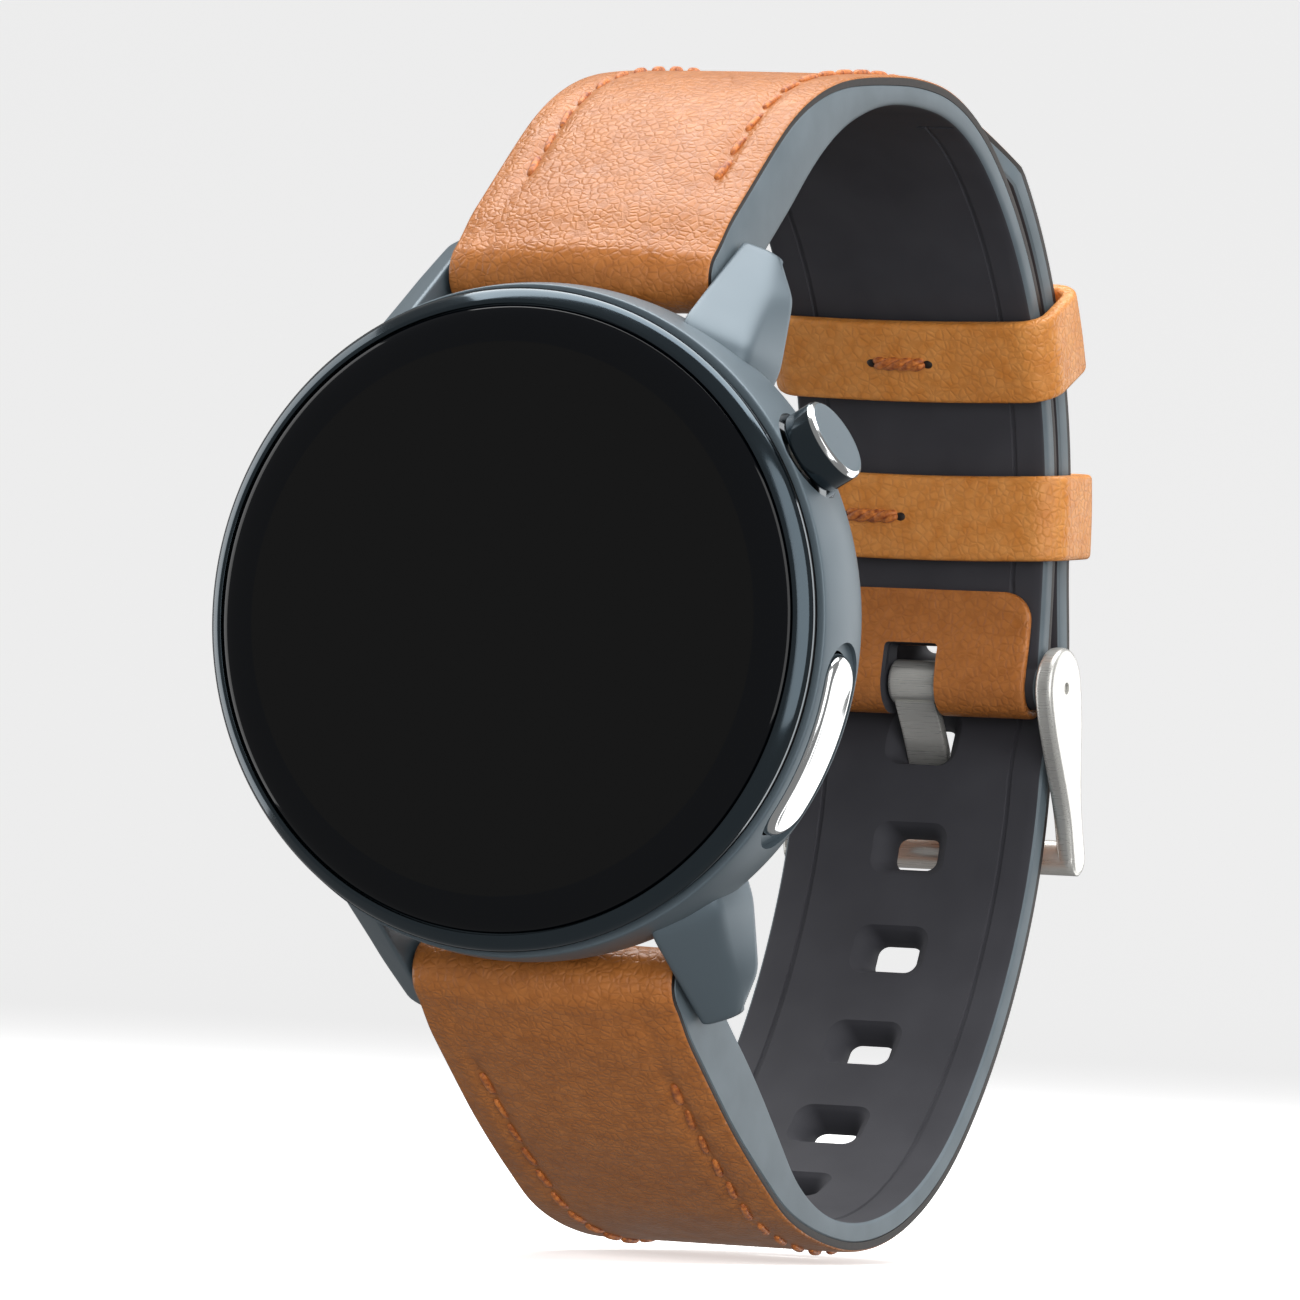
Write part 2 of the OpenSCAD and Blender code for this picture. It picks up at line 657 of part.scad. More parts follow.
module keeper(s) {
    mid = (keeper_low + keeper_high) / 2;
    h = keeper_high - keeper_low;
    w = back_w + 2 * keeper_side_gap;
    color(tan_leather) on_route(short_route, s) translate([0, 0, mid]) rotate([90, 0, 0])
        linear_extrude(keeper_w, center = true) difference() {
            rounded_rect(w + 2 * keeper_t, h + 2 * keeper_t, 2.1);
            rounded_rect(w, h, 1);
        }
}
module keeper_stitches(s, x) {
    color([0.8, 0.4, 0.12]) on_route(short_route, s) for (k = [-1:1])
        translate([x + k * 1.3, 0, keeper_low - keeper_t - 0.2]) cube([1.1, 0.5, 0.3], center = true);
}
module upper_keeper() { keeper(upper_keeper_s); }
module lower_keeper() { keeper(lower_keeper_s); }
module upper_keeper_stitches() { keeper_stitches(upper_keeper_s, -0.4); }
module lower_keeper_stitches() { keeper_stitches(lower_keeper_s, -3.2); }

// ---- Buckle -----------------------------------------------------------------------------

boss_r = 3;
cross_r = 1.3;
cross_pos = buckle_bar + [4.2, -12.5];

// The outline of two circles of different size and the straight sides between them
module tapered(a, ra, b, rb) {
    d = norm(b - a);
    t = atan2(b[1] - a[1], b[0] - a[0]);
    w = acos((ra - rb) / d);
    translate(a) circle(r = ra, $fn = 48);
    translate(b) circle(r = rb, $fn = 48);
    polygon([a + ra * [cos(t + w), sin(t + w)], b + rb * [cos(t + w), sin(t + w)],
        b + rb * [cos(t - w), sin(t - w)], a + ra * [cos(t - w), sin(t - w)]]);
}

module buckle_frame() {
    color(steel) difference() {
        union() {
            for (s = [-1, 1]) translate([s * (arm_x + arm_t / 2), 0, 0]) across(arm_t)
                tapered(buckle_bar, boss_r, cross_pos, cross_r);
            across(2 * arm_x + 2 * arm_t) translate(cross_pos) circle(r = cross_r, $fn = 48);
        }
        across(3 * strap_w) translate(buckle_bar) circle(r = tip_r + run_gap, $fn = small_fn);
    }
}

blade_t = 0.9;
blade_w = 3.2;
blade_from = buckle_bar + [-0.6, -1.2];
blade_bend = buckle_bar + [3.4, -5.95];
blade_tip = buckle_bar + [6.4, -13.15];
function unit(v) = v / norm(v);
function left_of(v) = [-v[1], v[0]];
module buckle_tongue() {
    d1 = unit(blade_bend - blade_from);
    d2 = unit(blade_tip - blade_bend);
    n1 = left_of(d1) * blade_t / 2;
    n2 = left_of(d2) * blade_t / 2;
    corner = unit(n1 + n2) * (blade_t / 2) / (unit(n1 + n2) * unit(n1));
    color(steel) difference() {
        union() {
            across(tongue_loop_w) translate(buckle_bar) circle(r = 1.65, $fn = 48);
            across(blade_w) polygon([blade_from + n1, blade_bend + corner, blade_tip + n2 - d2 * 0.4,
                blade_tip, blade_tip - n2 - d2 * 0.4, blade_bend - corner, blade_from - n1]);
        }
        across(2 * tongue_loop_w) translate(buckle_bar) circle(r = bar_bore_r, $fn = small_fn);
    }
}

mid_case();
bezel_ring();
bezel_gasket();
cover_glass();
display_panel();
display_flex();
inner_frame();
main_board();
shield_can();
battery();
motor_can();
motor_rotor();
speaker();
sensor_board();
sensor_window();
back_cover();
back_seal();
back_screws();
charging_pins();
crown_tube();
crown_cap();
crown_stem();
crown_seal();
crown_clip();
crown_encoder_wheel();
crown_switch();
side_button_cap();
side_button_plungers();
side_button_seals();
side_button_switch();
upper_bar_tube();
upper_bar_tip_left();
upper_bar_tip_right();
lower_bar_tube();
lower_bar_tip_left();
lower_bar_tip_right();
short_strap_liner();
short_strap_leather();
short_strap_patch();
short_strap_stitching();
long_strap_liner();
long_strap_leather();
long_strap_stitching();
upper_keeper();
lower_keeper();
upper_keeper_stitches();
lower_keeper_stitches();
buckle_frame();
buckle_tongue();
buckle_bar_tube();
buckle_bar_tip_left();
buckle_bar_tip_right();
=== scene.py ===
import json
import math
import bpy
import numpy as np
from mathutils import Matrix, Vector


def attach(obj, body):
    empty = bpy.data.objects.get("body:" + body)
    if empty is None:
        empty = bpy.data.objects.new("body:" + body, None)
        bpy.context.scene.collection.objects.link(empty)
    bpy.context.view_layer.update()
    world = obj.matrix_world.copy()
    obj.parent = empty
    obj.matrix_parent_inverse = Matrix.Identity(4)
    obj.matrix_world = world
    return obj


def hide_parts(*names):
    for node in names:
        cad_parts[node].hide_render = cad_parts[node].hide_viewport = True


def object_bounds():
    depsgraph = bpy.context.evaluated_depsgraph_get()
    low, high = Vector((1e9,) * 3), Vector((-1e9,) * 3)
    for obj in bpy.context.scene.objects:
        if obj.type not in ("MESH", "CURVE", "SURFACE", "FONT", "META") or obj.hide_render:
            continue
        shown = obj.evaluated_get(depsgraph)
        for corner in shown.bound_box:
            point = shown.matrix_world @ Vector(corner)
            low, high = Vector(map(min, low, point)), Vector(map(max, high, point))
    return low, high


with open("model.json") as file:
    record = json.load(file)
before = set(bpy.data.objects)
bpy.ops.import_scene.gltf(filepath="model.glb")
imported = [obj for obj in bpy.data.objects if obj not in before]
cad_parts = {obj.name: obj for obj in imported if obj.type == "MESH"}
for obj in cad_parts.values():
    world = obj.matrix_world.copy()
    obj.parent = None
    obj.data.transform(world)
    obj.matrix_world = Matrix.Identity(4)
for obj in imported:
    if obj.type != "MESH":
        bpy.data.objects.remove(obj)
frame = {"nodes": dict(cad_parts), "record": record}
nodes = frame["nodes"]
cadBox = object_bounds()
mm = 0.001
print("frame loaded")


def hexColour(text):  # sRGB hex to linear RGBA
    parts = np.array([int(text[i:i + 2], 16) / 255 for i in (1, 3, 5)])
    linear = np.where(parts <= 0.04045, parts / 12.92, ((parts + 0.055) / 1.055) ** 2.4)
    return (*linear, 1.0)


def addNode(tree, kind, inputs=None, **settings):  # one node with its settings, values and links
    made = tree.nodes.new(kind)
    for key, value in settings.items():
        setattr(made, key, value)
    for key, value in (inputs or {}).items():
        if isinstance(value, bpy.types.NodeSocket):
            tree.links.new(value, made.inputs[key])
        else:
            made.inputs[key].default_value = value
    return made


def newMaterial(name, colour, roughness, metallic=0.0, **more):
    made = bpy.data.materials.new(name)
    made.use_nodes = True
    made.diffuse_color = hexColour(colour)
    shader = made.node_tree.nodes["Principled BSDF"]
    shader.inputs["Base Color"].default_value = hexColour(colour)
    shader.inputs["Roughness"].default_value = roughness
    shader.inputs["Metallic"].default_value = metallic
    for key, value in more.items():
        shader.inputs[key.replace("_", " ")].default_value = value
    return made, made.node_tree, shader


def objectPlace(tree, stretch=(1, 1, 1)):  # Object coordinates, stretched along a direction
    where = addNode(tree, "ShaderNodeTexCoord")
    return addNode(tree, "ShaderNodeMapping", {"Vector": where.outputs["Object"], "Scale": stretch}).outputs[0]


def grain(tree, place, size, detail=2.0):  # noise whose bumps are size millimetres across
    inputs = {"Vector": place, "Scale": 1 / (size * mm), "Detail": detail}
    return addNode(tree, "ShaderNodeTexNoise", inputs).outputs["Fac"]


def spread(tree, value, low, high):  # a 0 to 1 pattern moved to the range low to high
    return addNode(tree, "ShaderNodeMapRange", {"Value": value, "From Min": 0.3, "From Max": 0.7,
                                                "To Min": low, "To Max": high}).outputs[0]


def tint(tree, value, dark, light):  # a pattern that runs between two colours
    made = addNode(tree, "ShaderNodeValToRGB", {"Fac": value})
    made.color_ramp.elements[0].position = 0.3
    made.color_ramp.elements[0].color = hexColour(dark)
    made.color_ramp.elements[1].position = 0.7
    made.color_ramp.elements[1].color = hexColour(light)
    return made.outputs["Color"]


def bump(tree, shader, height, depth, strength=1.0, under=None):  # depth in millimetres
    inputs = {"Height": height, "Distance": depth * mm, "Strength": strength}
    if under is not None:
        inputs["Normal"] = under
    made = addNode(tree, "ShaderNodeBump", inputs)
    tree.links.new(made.outputs[0], shader.inputs["Normal"])
    return made.outputs[0]


# Bead-blasted, dyed aluminium: a soft blue-grey with a fine even grain, drawn coarser than real grit so that it shows
def satinAluminium():
    look = {"colour": "#5F6C74", "roughness": 0.42, "metallic": 0.3, "grain": 0.12}
    made, tree, shader = newMaterial("satinAluminium", look["colour"], look["roughness"], look["metallic"])
    fine = grain(tree, objectPlace(tree), look["grain"])
    tree.links.new(spread(tree, grain(tree, objectPlace(tree), 6), 0.38, 0.46), shader.inputs["Roughness"])
    bump(tree, shader, fine, 0.004, 0.5)
    return made


# Polished dark plating: nearly black where it mirrors dark, white where it mirrors the lights
def darkPlating():
    made, tree, shader = newMaterial("darkPlating", "#38434A", 0.12, 0.9, Coat_Weight=0.3, Coat_Roughness=0.04)
    tree.links.new(spread(tree, grain(tree, objectPlace(tree), 3), 0.09, 0.15), shader.inputs["Roughness"])
    return made


# Polished steel for the side button and the thin bright rims
def polishedSteel():
    made, tree, shader = newMaterial("polishedSteel", "#E4E6E6", 0.12, 1.0)
    tree.links.new(spread(tree, grain(tree, objectPlace(tree), 1.5), 0.10, 0.17), shader.inputs["Roughness"])
    return made


# Stainless steel brushed along the bar: pale, with lines across the watch, drawn coarser than real so that they show
def brushedSteel():
    made, tree, shader = newMaterial("brushedSteel", "#DAD9D4", 0.3, 0.6)
    lines = grain(tree, objectPlace(tree, (0.02, 1, 1)), 0.08, 2)
    tree.links.new(spread(tree, lines, 0.24, 0.38), shader.inputs["Roughness"])
    bump(tree, shader, lines, 0.003, 0.3)
    return made


# Chemically strengthened glass with ink printed behind its edge and the unlit display behind its middle
def coverGlassMaterial():
    look = {"activeRadius": 19.1, "printed": "#04060A", "display": "#0C0C0C"}
    made, tree, shader = newMaterial("coverGlass", look["printed"], 0.05, Specular_IOR_Level=0.3)
    where = addNode(tree, "ShaderNodeTexCoord").outputs["Object"]
    flat = addNode(tree, "ShaderNodeVectorMath", {0: where, 1: (1, 0, 1)}, operation="MULTIPLY").outputs[0]
    radius = addNode(tree, "ShaderNodeVectorMath", {0: flat}, operation="LENGTH").outputs["Value"]
    edge = look["activeRadius"] * mm
    inside = addNode(tree, "ShaderNodeMath", {0: radius, 1: edge}, operation="LESS_THAN").outputs[0]
    colours = {0: inside, 6: hexColour(look["printed"]), 7: hexColour(look["display"])}
    mixed = addNode(tree, "ShaderNodeMix", colours, data_type="RGBA")
    tree.links.new(mixed.outputs[2], shader.inputs["Base Color"])
    return made


# Full-grain calf leather: pebbled grain, creases darkened with painted shade, a soft finish.
# Sizes are in millimetres: a pebble, the mottle of its colour and the clouds over that.
def calfLeather(name="calfLeather", dark="#AE692E", light="#BF783B", rough=(0.33, 0.44)):
    look = {"pebble": 0.6, "mottle": 1.1, "patch": 8.0}
    made, tree, shader = newMaterial(name, light, 0.46, Specular_IOR_Level=0.45)
    place = objectPlace(tree)
    wobble = addNode(tree, "ShaderNodeTexNoise", {"Vector": place, "Scale": 1 / (0.5 * mm), "Detail": 2.0})
    pushed = addNode(tree, "ShaderNodeVectorMath", {0: wobble.outputs["Color"], 3: 0.25 * mm}, operation="SCALE")
    bent = addNode(tree, "ShaderNodeVectorMath", {0: place, 1: pushed.outputs[0]}, operation="ADD").outputs[0]
    cells = addNode(tree, "ShaderNodeTexVoronoi", {"Vector": bent, "Scale": 1 / (look["pebble"] * mm)},
                    feature="DISTANCE_TO_EDGE").outputs["Distance"]
    pebble = addNode(tree, "ShaderNodeMapRange", {"Value": cells, "From Min": 0.0, "From Max": 0.22}).outputs[0]
    mottle = tint(tree, grain(tree, place, look["mottle"], 3), dark, light)
    cloud = tint(tree, grain(tree, place, look["patch"], 2), "#F2EEEA", "#FFFFFF")
    colour = addNode(tree, "ShaderNodeMix", {0: 1.0, 6: mottle, 7: cloud}, data_type="RGBA", blend_type="MULTIPLY")
    # Painted shade: the colour drops to 0.9 in the creases between the pebbles
    creaseShade = addNode(tree, "ShaderNodeMapRange", {"Value": pebble, "To Min": 0.9, "To Max": 1.0}).outputs[0]
    final = addNode(tree, "ShaderNodeMix", {0: 1.0, 6: colour.outputs[2], 7: creaseShade}, data_type="RGBA",
                    blend_type="MULTIPLY")
    tree.links.new(final.outputs[2], shader.inputs["Base Color"])
    tree.links.new(spread(tree, grain(tree, place, 2.5), *rough), shader.inputs["Roughness"])
    low = bump(tree, shader, grain(tree, place, 3.0, 2), 0.08, 0.4)
    bump(tree, shader, pebble, 0.045, 0.75, low)
    return made


# Cut leather edge, sealed with dark wax; the keeper stitches' pits take it too, as painted shade in the stitch holes
def waxedEdgeAndPitShade():
    made, tree, shader = newMaterial("waxedEdgeAndPitShade", "#1C1512", 0.6)
    tree.links.new(tint(tree, grain(tree, objectPlace(tree), 0.4), "#15100D", "#251B16"), shader.inputs["Base Color"])
    return made


# Moulded silicone rubber: matt charcoal with a dust-fine grain, drawn coarser than real so that it shows
def siliconeRubber():
    made, tree, shader = newMaterial("siliconeRubber", "#3A3A3F", 0.72, Specular_IOR_Level=0.3)
    place = objectPlace(tree)
    tree.links.new(tint(tree, grain(tree, place, 5), "#37373C", "#3E3E43"), shader.inputs["Base Color"])
    bump(tree, shader, grain(tree, place, 0.2), 0.006, 0.5)
    return made


# The side of the rubber, smoother than its face and paler: dark edge paint with a painted highlight in its colour
def rubberSideEdgePaintAndHighlight():
    made, tree, shader = newMaterial("rubberSideEdgePaintAndHighlight", "#5C686F", 0.55)
    place = objectPlace(tree)
    tree.links.new(tint(tree, grain(tree, place, 4), "#57636A", "#626E75"), shader.inputs["Base Color"])
    bump(tree, shader, grain(tree, place, 0.25), 0.008, 0.4)
    return made


# Waxed polyester thread: orange that runs from dark to light, with an uneven, fibrous surface
def waxedThread():
    made, tree, shader = newMaterial("waxedThread", "#C8702C", 0.5, Sheen_Weight=0.1)
    place = objectPlace(tree)
    tree.links.new(tint(tree, grain(tree, place, 0.35), "#8A3F14", "#DC8438"), shader.inputs["Base Color"])
    bump(tree, shader, grain(tree, place, 0.12), 0.03, 0.7)
    return made


# Hidden parts: an even finish with a faint speckle; what each gives the eye is beside its entry below
def plainMaterial(name, dark, light, roughness, metallic=0.0, size=1.0, depth=0.004):
    made, tree, shader = newMaterial(name, light, roughness, metallic)
    place = objectPlace(tree)
    tree.links.new(tint(tree, grain(tree, place, size), dark, light), shader.inputs["Base Color"])
    bump(tree, shader, grain(tree, place, size / 4), depth, 0.5)
    return made


aluminium = satinAluminium()
plating = darkPlating()
polished = polishedSteel()
steel = brushedSteel()
glass = coverGlassMaterial()
leather = calfLeather()
# The keepers get a lighter copy of the strap leather: the extra lightness is painted light
keeperLeatherPaintedLight = calfLeather("keeperLeatherPaintedLight", "#D58638", "#E39A50", (0.36, 0.46))
leatherEdgeWaxAndPitShade = waxedEdgeAndPitShade()
rubber = siliconeRubber()
rubberEdgePaintAndHighlight = rubberSideEdgePaintAndHighlight()
thread = waxedThread()
slotMaterials = {
    "case_paint": aluminium,
    "bezel_metal": plating,
    "black_rubber": plainMaterial("nitrileRubber", "#060607", "#0C0C0D", 0.8),  # moulded seals: matt black
    "black_glass": glass,
    "display_black": plainMaterial("displayPanel", "#0A0A0B", "#0E0E10", 0.2),  # unlit panel: even black
    "flex_amber": plainMaterial("polyimideFilm", "#8A4A12", "#A65C18", 0.35),  # flex cable: amber film
    "grey_plastic": plainMaterial("glassFilledNylon", "#1B1C1E", "#242528", 0.55),  # moulded, faint speckle
    "board_green": plainMaterial("solderMask", "#0B3A20", "#114A2A", 0.35, size=2.0),  # board: green lacquer
    "steel": steel,
    "foil": plainMaterial("pouchFoil", "#A8AAAE", "#C2C4C8", 0.3, 1.0, 2.0),  # battery pouch: dull silver
    "tungsten": plainMaterial("sinteredTungsten", "#5E5648", "#746A58", 0.5, 1.0, 0.4),  # grainy grey-brown
    "gold": plainMaterial("goldPlating", "#D8AE5A", "#E6C070", 0.22, 1.0),  # contacts: warm yellow
    "black_plastic": plainMaterial("glossNylon", "#101012", "#161618", 0.3),  # switches, speaker: gloss black
    "strap_rubber": rubber,
    "tan_leather": leather,
    "orange_thread": thread,
    "polished_steel": polished,
}
for entry in frame["record"]["subparts"]:
    shown = nodes[entry["node"]].data.materials
    shown.clear()
    shown.append(slotMaterials[entry["material_slot"]])
print("materials made")


# Makes a closed skin from a grid of points: rows run along i, columns run round j.
# Rows wrap round too for a ring; otherwise each end row is closed by a fan to its middle.
def skin(name, grid, materials, wrapRows=False, faceMaterial=None, sharp=38):
    rows, columns = grid.shape[:2]
    index = np.arange(rows * columns).reshape(rows, columns)
    index = np.hstack([index, index[:, :1]])
    if wrapRows:
        index = np.vstack([index, index[:1]])
    quads = np.stack([index[:-1, :-1], index[1:, :-1], index[1:, 1:], index[:-1, 1:]], -1).reshape(-1, 4)
    points = grid.reshape(-1, 3)
    faces = quads.tolist()
    corners = np.vstack([quads[:, [0, 1, 2]], quads[:, [0, 2, 3]]])
    if not wrapRows:
        first, last = len(points), len(points) + 1
        points = np.vstack([points, grid[0].mean(0), grid[-1].mean(0)])
        fans = np.vstack([
            np.stack([index[0, :-1], index[0, 1:], np.full(columns, first)], -1),
            np.stack([index[-1, 1:], index[-1, :-1], np.full(columns, last)], -1)])
        faces += fans.tolist()
        corners = np.vstack([corners, fans])
    a, b, c = (points[corners[:, k]] for k in range(3))
    if np.einsum("ij,ij->i", a, np.cross(b, c)).sum() < 0:  # negative volume: turn every face round
        faces = [face[::-1] for face in faces]
    mesh = bpy.data.meshes.new(name)
    mesh.from_pydata((points * mm).tolist(), [], faces)
    for material in materials:
        mesh.materials.append(material)
    if faceMaterial is not None:
        numbers = np.zeros(len(faces), int)
        numbers[:len(quads)] = np.broadcast_to(faceMaterial, (index.shape[0] - 1, columns)).reshape(-1)
        mesh.polygons.foreach_set("material_index", numbers)
    mesh.validate()
    mesh.shade_smooth()
    mesh.set_sharp_from_angle(angle=math.radians(sharp))
    made = bpy.data.objects.new(name, mesh)
    bpy.context.scene.collection.objects.link(made)
    return made


def joined(name, pieces):  # several meshes become one piece
    with bpy.context.temp_override(active_object=pieces[0], selected_editable_objects=pieces,
                                   selected_objects=pieces, object=pieces[0]):
        bpy.ops.object.join()
    pieces[0].name = name
    pieces[0].data.name = name
    return pieces[0]


def cut(piece, cutter, sharp=38):  # takes the cutter out of a piece
    change = piece.modifiers.new("cut", "BOOLEAN")
    change.object = cutter
    change.operation = "DIFFERENCE"
    change.solver = "EXACT"
    change.material_mode = "TRANSFER"
    done = piece.evaluated_get(bpy.context.evaluated_depsgraph_get())
    mesh = bpy.data.meshes.new_from_object(done)
    piece.modifiers.clear()
    piece.data = mesh
    mesh.shade_smooth()
    mesh.set_sharp_from_angle(angle=math.radians(sharp))
    return piece


def place(piece, body, slotName, *replaced):  # rides on a body and stands for CAD nodes
    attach(piece, body)
    if replaced:
        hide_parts(*replaced)
    return piece


# Softens the corners of an outline: each corner (a, b, cut) becomes a short curve that starts
# and ends at the distance cut from it
def softened(corners, closed=True, steps=5):
    corners = np.array(corners, float)
    spots, cuts = corners[:, :-1], corners[:, -1]
    t = np.linspace(0, 1, steps + 1)[:, None]
    out = []
    for k in range(len(spots)):
        if cuts[k] == 0 or (not closed and k in (0, len(spots) - 1)):
            out.append(spots[k:k + 1])
            continue
        before, after = spots[k - 1] - spots[k], spots[(k + 1) % len(spots)] - spots[k]
        a = spots[k] + before / np.linalg.norm(before) * cuts[k]
        b = spots[k] + after / np.linalg.norm(after) * cuts[k]
        out.append((1 - t) ** 2 * a + 2 * t * (1 - t) * spots[k] + t ** 2 * b)
    return np.vstack(out)


# A profile of (radius, height) points turned round an axis: each point sweeps a circle
def turned(name, profile, materials, axes, count, ring=True, rowMaterial=None, sharp=38):
    origin, axis, u, v = (np.array(w, float) for w in axes)
    turn = np.linspace(0, 2 * np.pi, count, endpoint=False)
    circle = np.cos(turn)[:, None] * u + np.sin(turn)[:, None] * v
    grid = origin + profile[:, None, 1:2] * axis + profile[:, None, 0:1] * circle[None]
    rowFaces = None if rowMaterial is None else np.array(rowMaterial)[:, None]
    return skin(name, grid, materials, wrapRows=ring, faceMaterial=rowFaces, sharp=sharp)


dialAxes = ((0, 0, 0), (0, -1, 0), (1, 0, 0), (0, 0, 1))  # heights run out of the dial


def radialAxes(angle, height):  # heights run out through the case side
    c, s = math.cos(math.radians(angle)), math.sin(math.radians(angle))
    return ((0, -height, 0), (c, 0, s), (0, -1, 0), (-s, 0, c))


# Sizes are in millimetres; heights run from the case back towards the glass
bezel = {"radius": 22.9, "undercut": 22.6, "foot": 9.5, "shoulder": 10.15, "lip": 21.75, "lipTop": 11.02,
         "inner": 20.6, "seat": 10.25}
glassShape = {"radius": 21.65, "under": 10.3, "edge": 10.72, "flat": 19.2, "top": 11.5}


# A closed outline: undercut foot, outer wall, shoulder that slopes up to the glass, inner wall and seat
def bezelProfile():
    b = bezel
    return softened([
        (b["inner"], b["foot"], 0), (b["undercut"], b["foot"], 0.05), (b["undercut"], b["foot"] + 0.28, 0.05),
        (b["radius"], b["foot"] + 0.4, 0.1),
        (b["radius"], b["shoulder"] + 0.1, 0.5), (b["lip"] + 0.2, b["lipTop"], 0.18),
        (b["lip"], b["lipTop"] - 0.08, 0.06),
        (b["lip"], b["seat"], 0), (b["inner"], b["seat"], 0)])


bezelRing = turned("bezelRing", bezelProfile(), [plating], dialAxes, 256)
place(bezelRing, "case", "bezel_metal", "bezel_ring")


def glassProfile():  # flat underside, short wall, then an ellipse that eases into the flat top
    g = glassShape
    t = np.linspace(0, np.pi / 2, 20)
    radius = g["flat"] + (g["radius"] - g["flat"]) * np.cos(t)
    rise = np.stack([radius, g["edge"] + (g["top"] - g["edge"]) * np.sin(t)], -1)
    top = np.array([[r, g["top"]] for r in (18.0, 10.0, 0.01)])
    return np.vstack([[[0.01, g["under"]], [g["radius"], g["under"]]], rise, top])


coverGlass = turned("coverGlass", glassProfile(), [glass], dialAxes, 256, ring=False, sharp=60)
place(coverGlass, "case", "black_glass", "cover_glass")
print("dial made")


# A flat plate with rounded rims from a closed outline: each row is the outline moved inwards
# along its own normals while the height climbs a quarter circle, the wall, and back
def plateRows(outline, thick, rim, steps=4):
    ahead = np.roll(outline, -1, 0) - np.roll(outline, 1, 0)
    normal = np.stack([ahead[:, 1], -ahead[:, 0]], -1)
    normal /= np.linalg.norm(normal, axis=1)[:, None]
    area = np.sum(outline[:, 0] * np.roll(outline[:, 1], -1) - np.roll(outline[:, 0], -1) * outline[:, 1])
    normal *= np.sign(area)
    t = np.linspace(0, np.pi / 2, steps + 1)
    inset = rim * (1 - np.sin(t))
    height = rim * (1 - np.cos(t))
    inset = np.concatenate([[rim * 1.25], inset, inset[::-1], [rim * 1.25]])
    height = np.concatenate([[0], height, thick - height[::-1], [thick]])
    flat = outline[None] - inset[:, None, None] * normal[None]
    return flat, np.broadcast_to(height[:, None], flat.shape[:2])


def stadium(length, width, count=48):  # two half circles joined by straight sides, length along b
    t = np.linspace(0, np.pi, count // 2)
    r = width / 2
    top = np.stack([r * np.cos(t), r * np.sin(t) + length / 2 - r], -1)
    sides = np.linspace(length / 2 - r, -length / 2 + r, 12)[1:-1]
    left = np.stack([np.full(10, -r), sides], -1)
    return np.vstack([top, left, -top, -left])


crown = {"angle": 31.5, "height": 5.5, "radius": 3.0, "base": 23.35, "face": 25.8, "chamfer": 0.34}


def crownProfile():  # under face, barrel, bright chamfer, face with a slight dish
    c = crown
    return softened([
        (0.81, c["base"], 0), (c["radius"] - 0.15, c["base"], 0), (c["radius"], c["base"] + 0.18, 0.08),
        (c["radius"], c["face"] - c["chamfer"] - 0.02, 0.05), (c["radius"] - 0.12, c["face"] - 0.12, 0.05),
        (c["radius"] - c["chamfer"], c["face"], 0.06), (c["radius"] - 0.55, c["face"] - 0.02, 0.04),
        (0.02, c["face"] - 0.03, 0)], closed=False)


profile = crownProfile()
# Rows of the profile: the barrel is plated, its chamfer polished, the face plain aluminium
rowKind = np.where(profile[:-1, 0] < crown["radius"] - 0.3, np.where(profile[:-1, 1] > 25, 2, 0),
                   np.where(profile[:-1, 1] > crown["face"] - crown["chamfer"] - 0.08, 1, 0))
crownAxes = radialAxes(crown["angle"], crown["height"])
crownCap = turned("crownCap", profile, [plating, polished, aluminium], crownAxes, 128, ring=False,
                  rowMaterial=rowKind, sharp=50)
place(crownCap, "crown", "bezel_metal", "crown_cap")
print("crown made")


button = {"angle": -20.3, "height": 5.4, "length": 13.4, "width": 4.3, "foot": 21.5, "face": 23.5, "rim": 0.5}
flat, height = plateRows(stadium(button["length"], button["width"]), button["face"] - button["foot"], button["rim"])
origin, axis, u, v = (np.array(w, float) for w in radialAxes(button["angle"], button["height"]))
# The face follows the case: its height drops with the sideways distance as a circle does
drop = np.sqrt(button["face"] ** 2 - flat[..., 1] ** 2) - button["face"]
out = button["foot"] + height + drop * np.clip(height / 1.5, 0, 1)
buttonGrid = origin + out[..., None] * axis + flat[..., 0:1] * u + flat[..., 1:2] * v
buttonCap = skin("buttonCap", buttonGrid, [polished], sharp=60)
place(buttonCap, "side_button", "polished_steel", "side_button_cap")
print("side button made")


# The slot and the shallow dish are for the side button, the pocket and the bore for the crown
case = {"wall": 23.45, "rim": 22.65, "top": 8.9, "groove": 8.5, "cavity": 20.2, "ledge": 16.0, "back": 1.3,
        "cover": 19.2, "belly": 0.3, "slotLong": 13.7, "slotWide": 4.6, "slotFloor": 21.0, "dishLong": 15.3,
        "dishWide": 5.6, "dishFloor": 22.95, "pocket": 3.35, "pocketFloor": 22.75, "bore": 1.62, "beyond": 27.0}
# Each edge line of a lug is a list of (sideways, towards 12 or 6 o'clock, height)
lug = {"rings": 26, "corner": 0.9,
       "innerFront": [(10.35, 18.2, 7.2), (10.35, 21.1, 7.1), (10.35, 27.2, -2.2)],
       "ridge": [(14.0, 17.2, 5.6), (14.7, 19.0, 5.0), (12.8, 26.3, -3.1)],
       "outerBack": [(14.8, 16.4, 0.6), (15.3, 18.0, 0.2), (14.8, 23.2, -2.6), (13.1, 25.9, -4.0)],
       "innerBack": [(10.35, 18.0, 0.9), (10.35, 18.8, 0.5), (10.35, 26.4, -3.8)]}


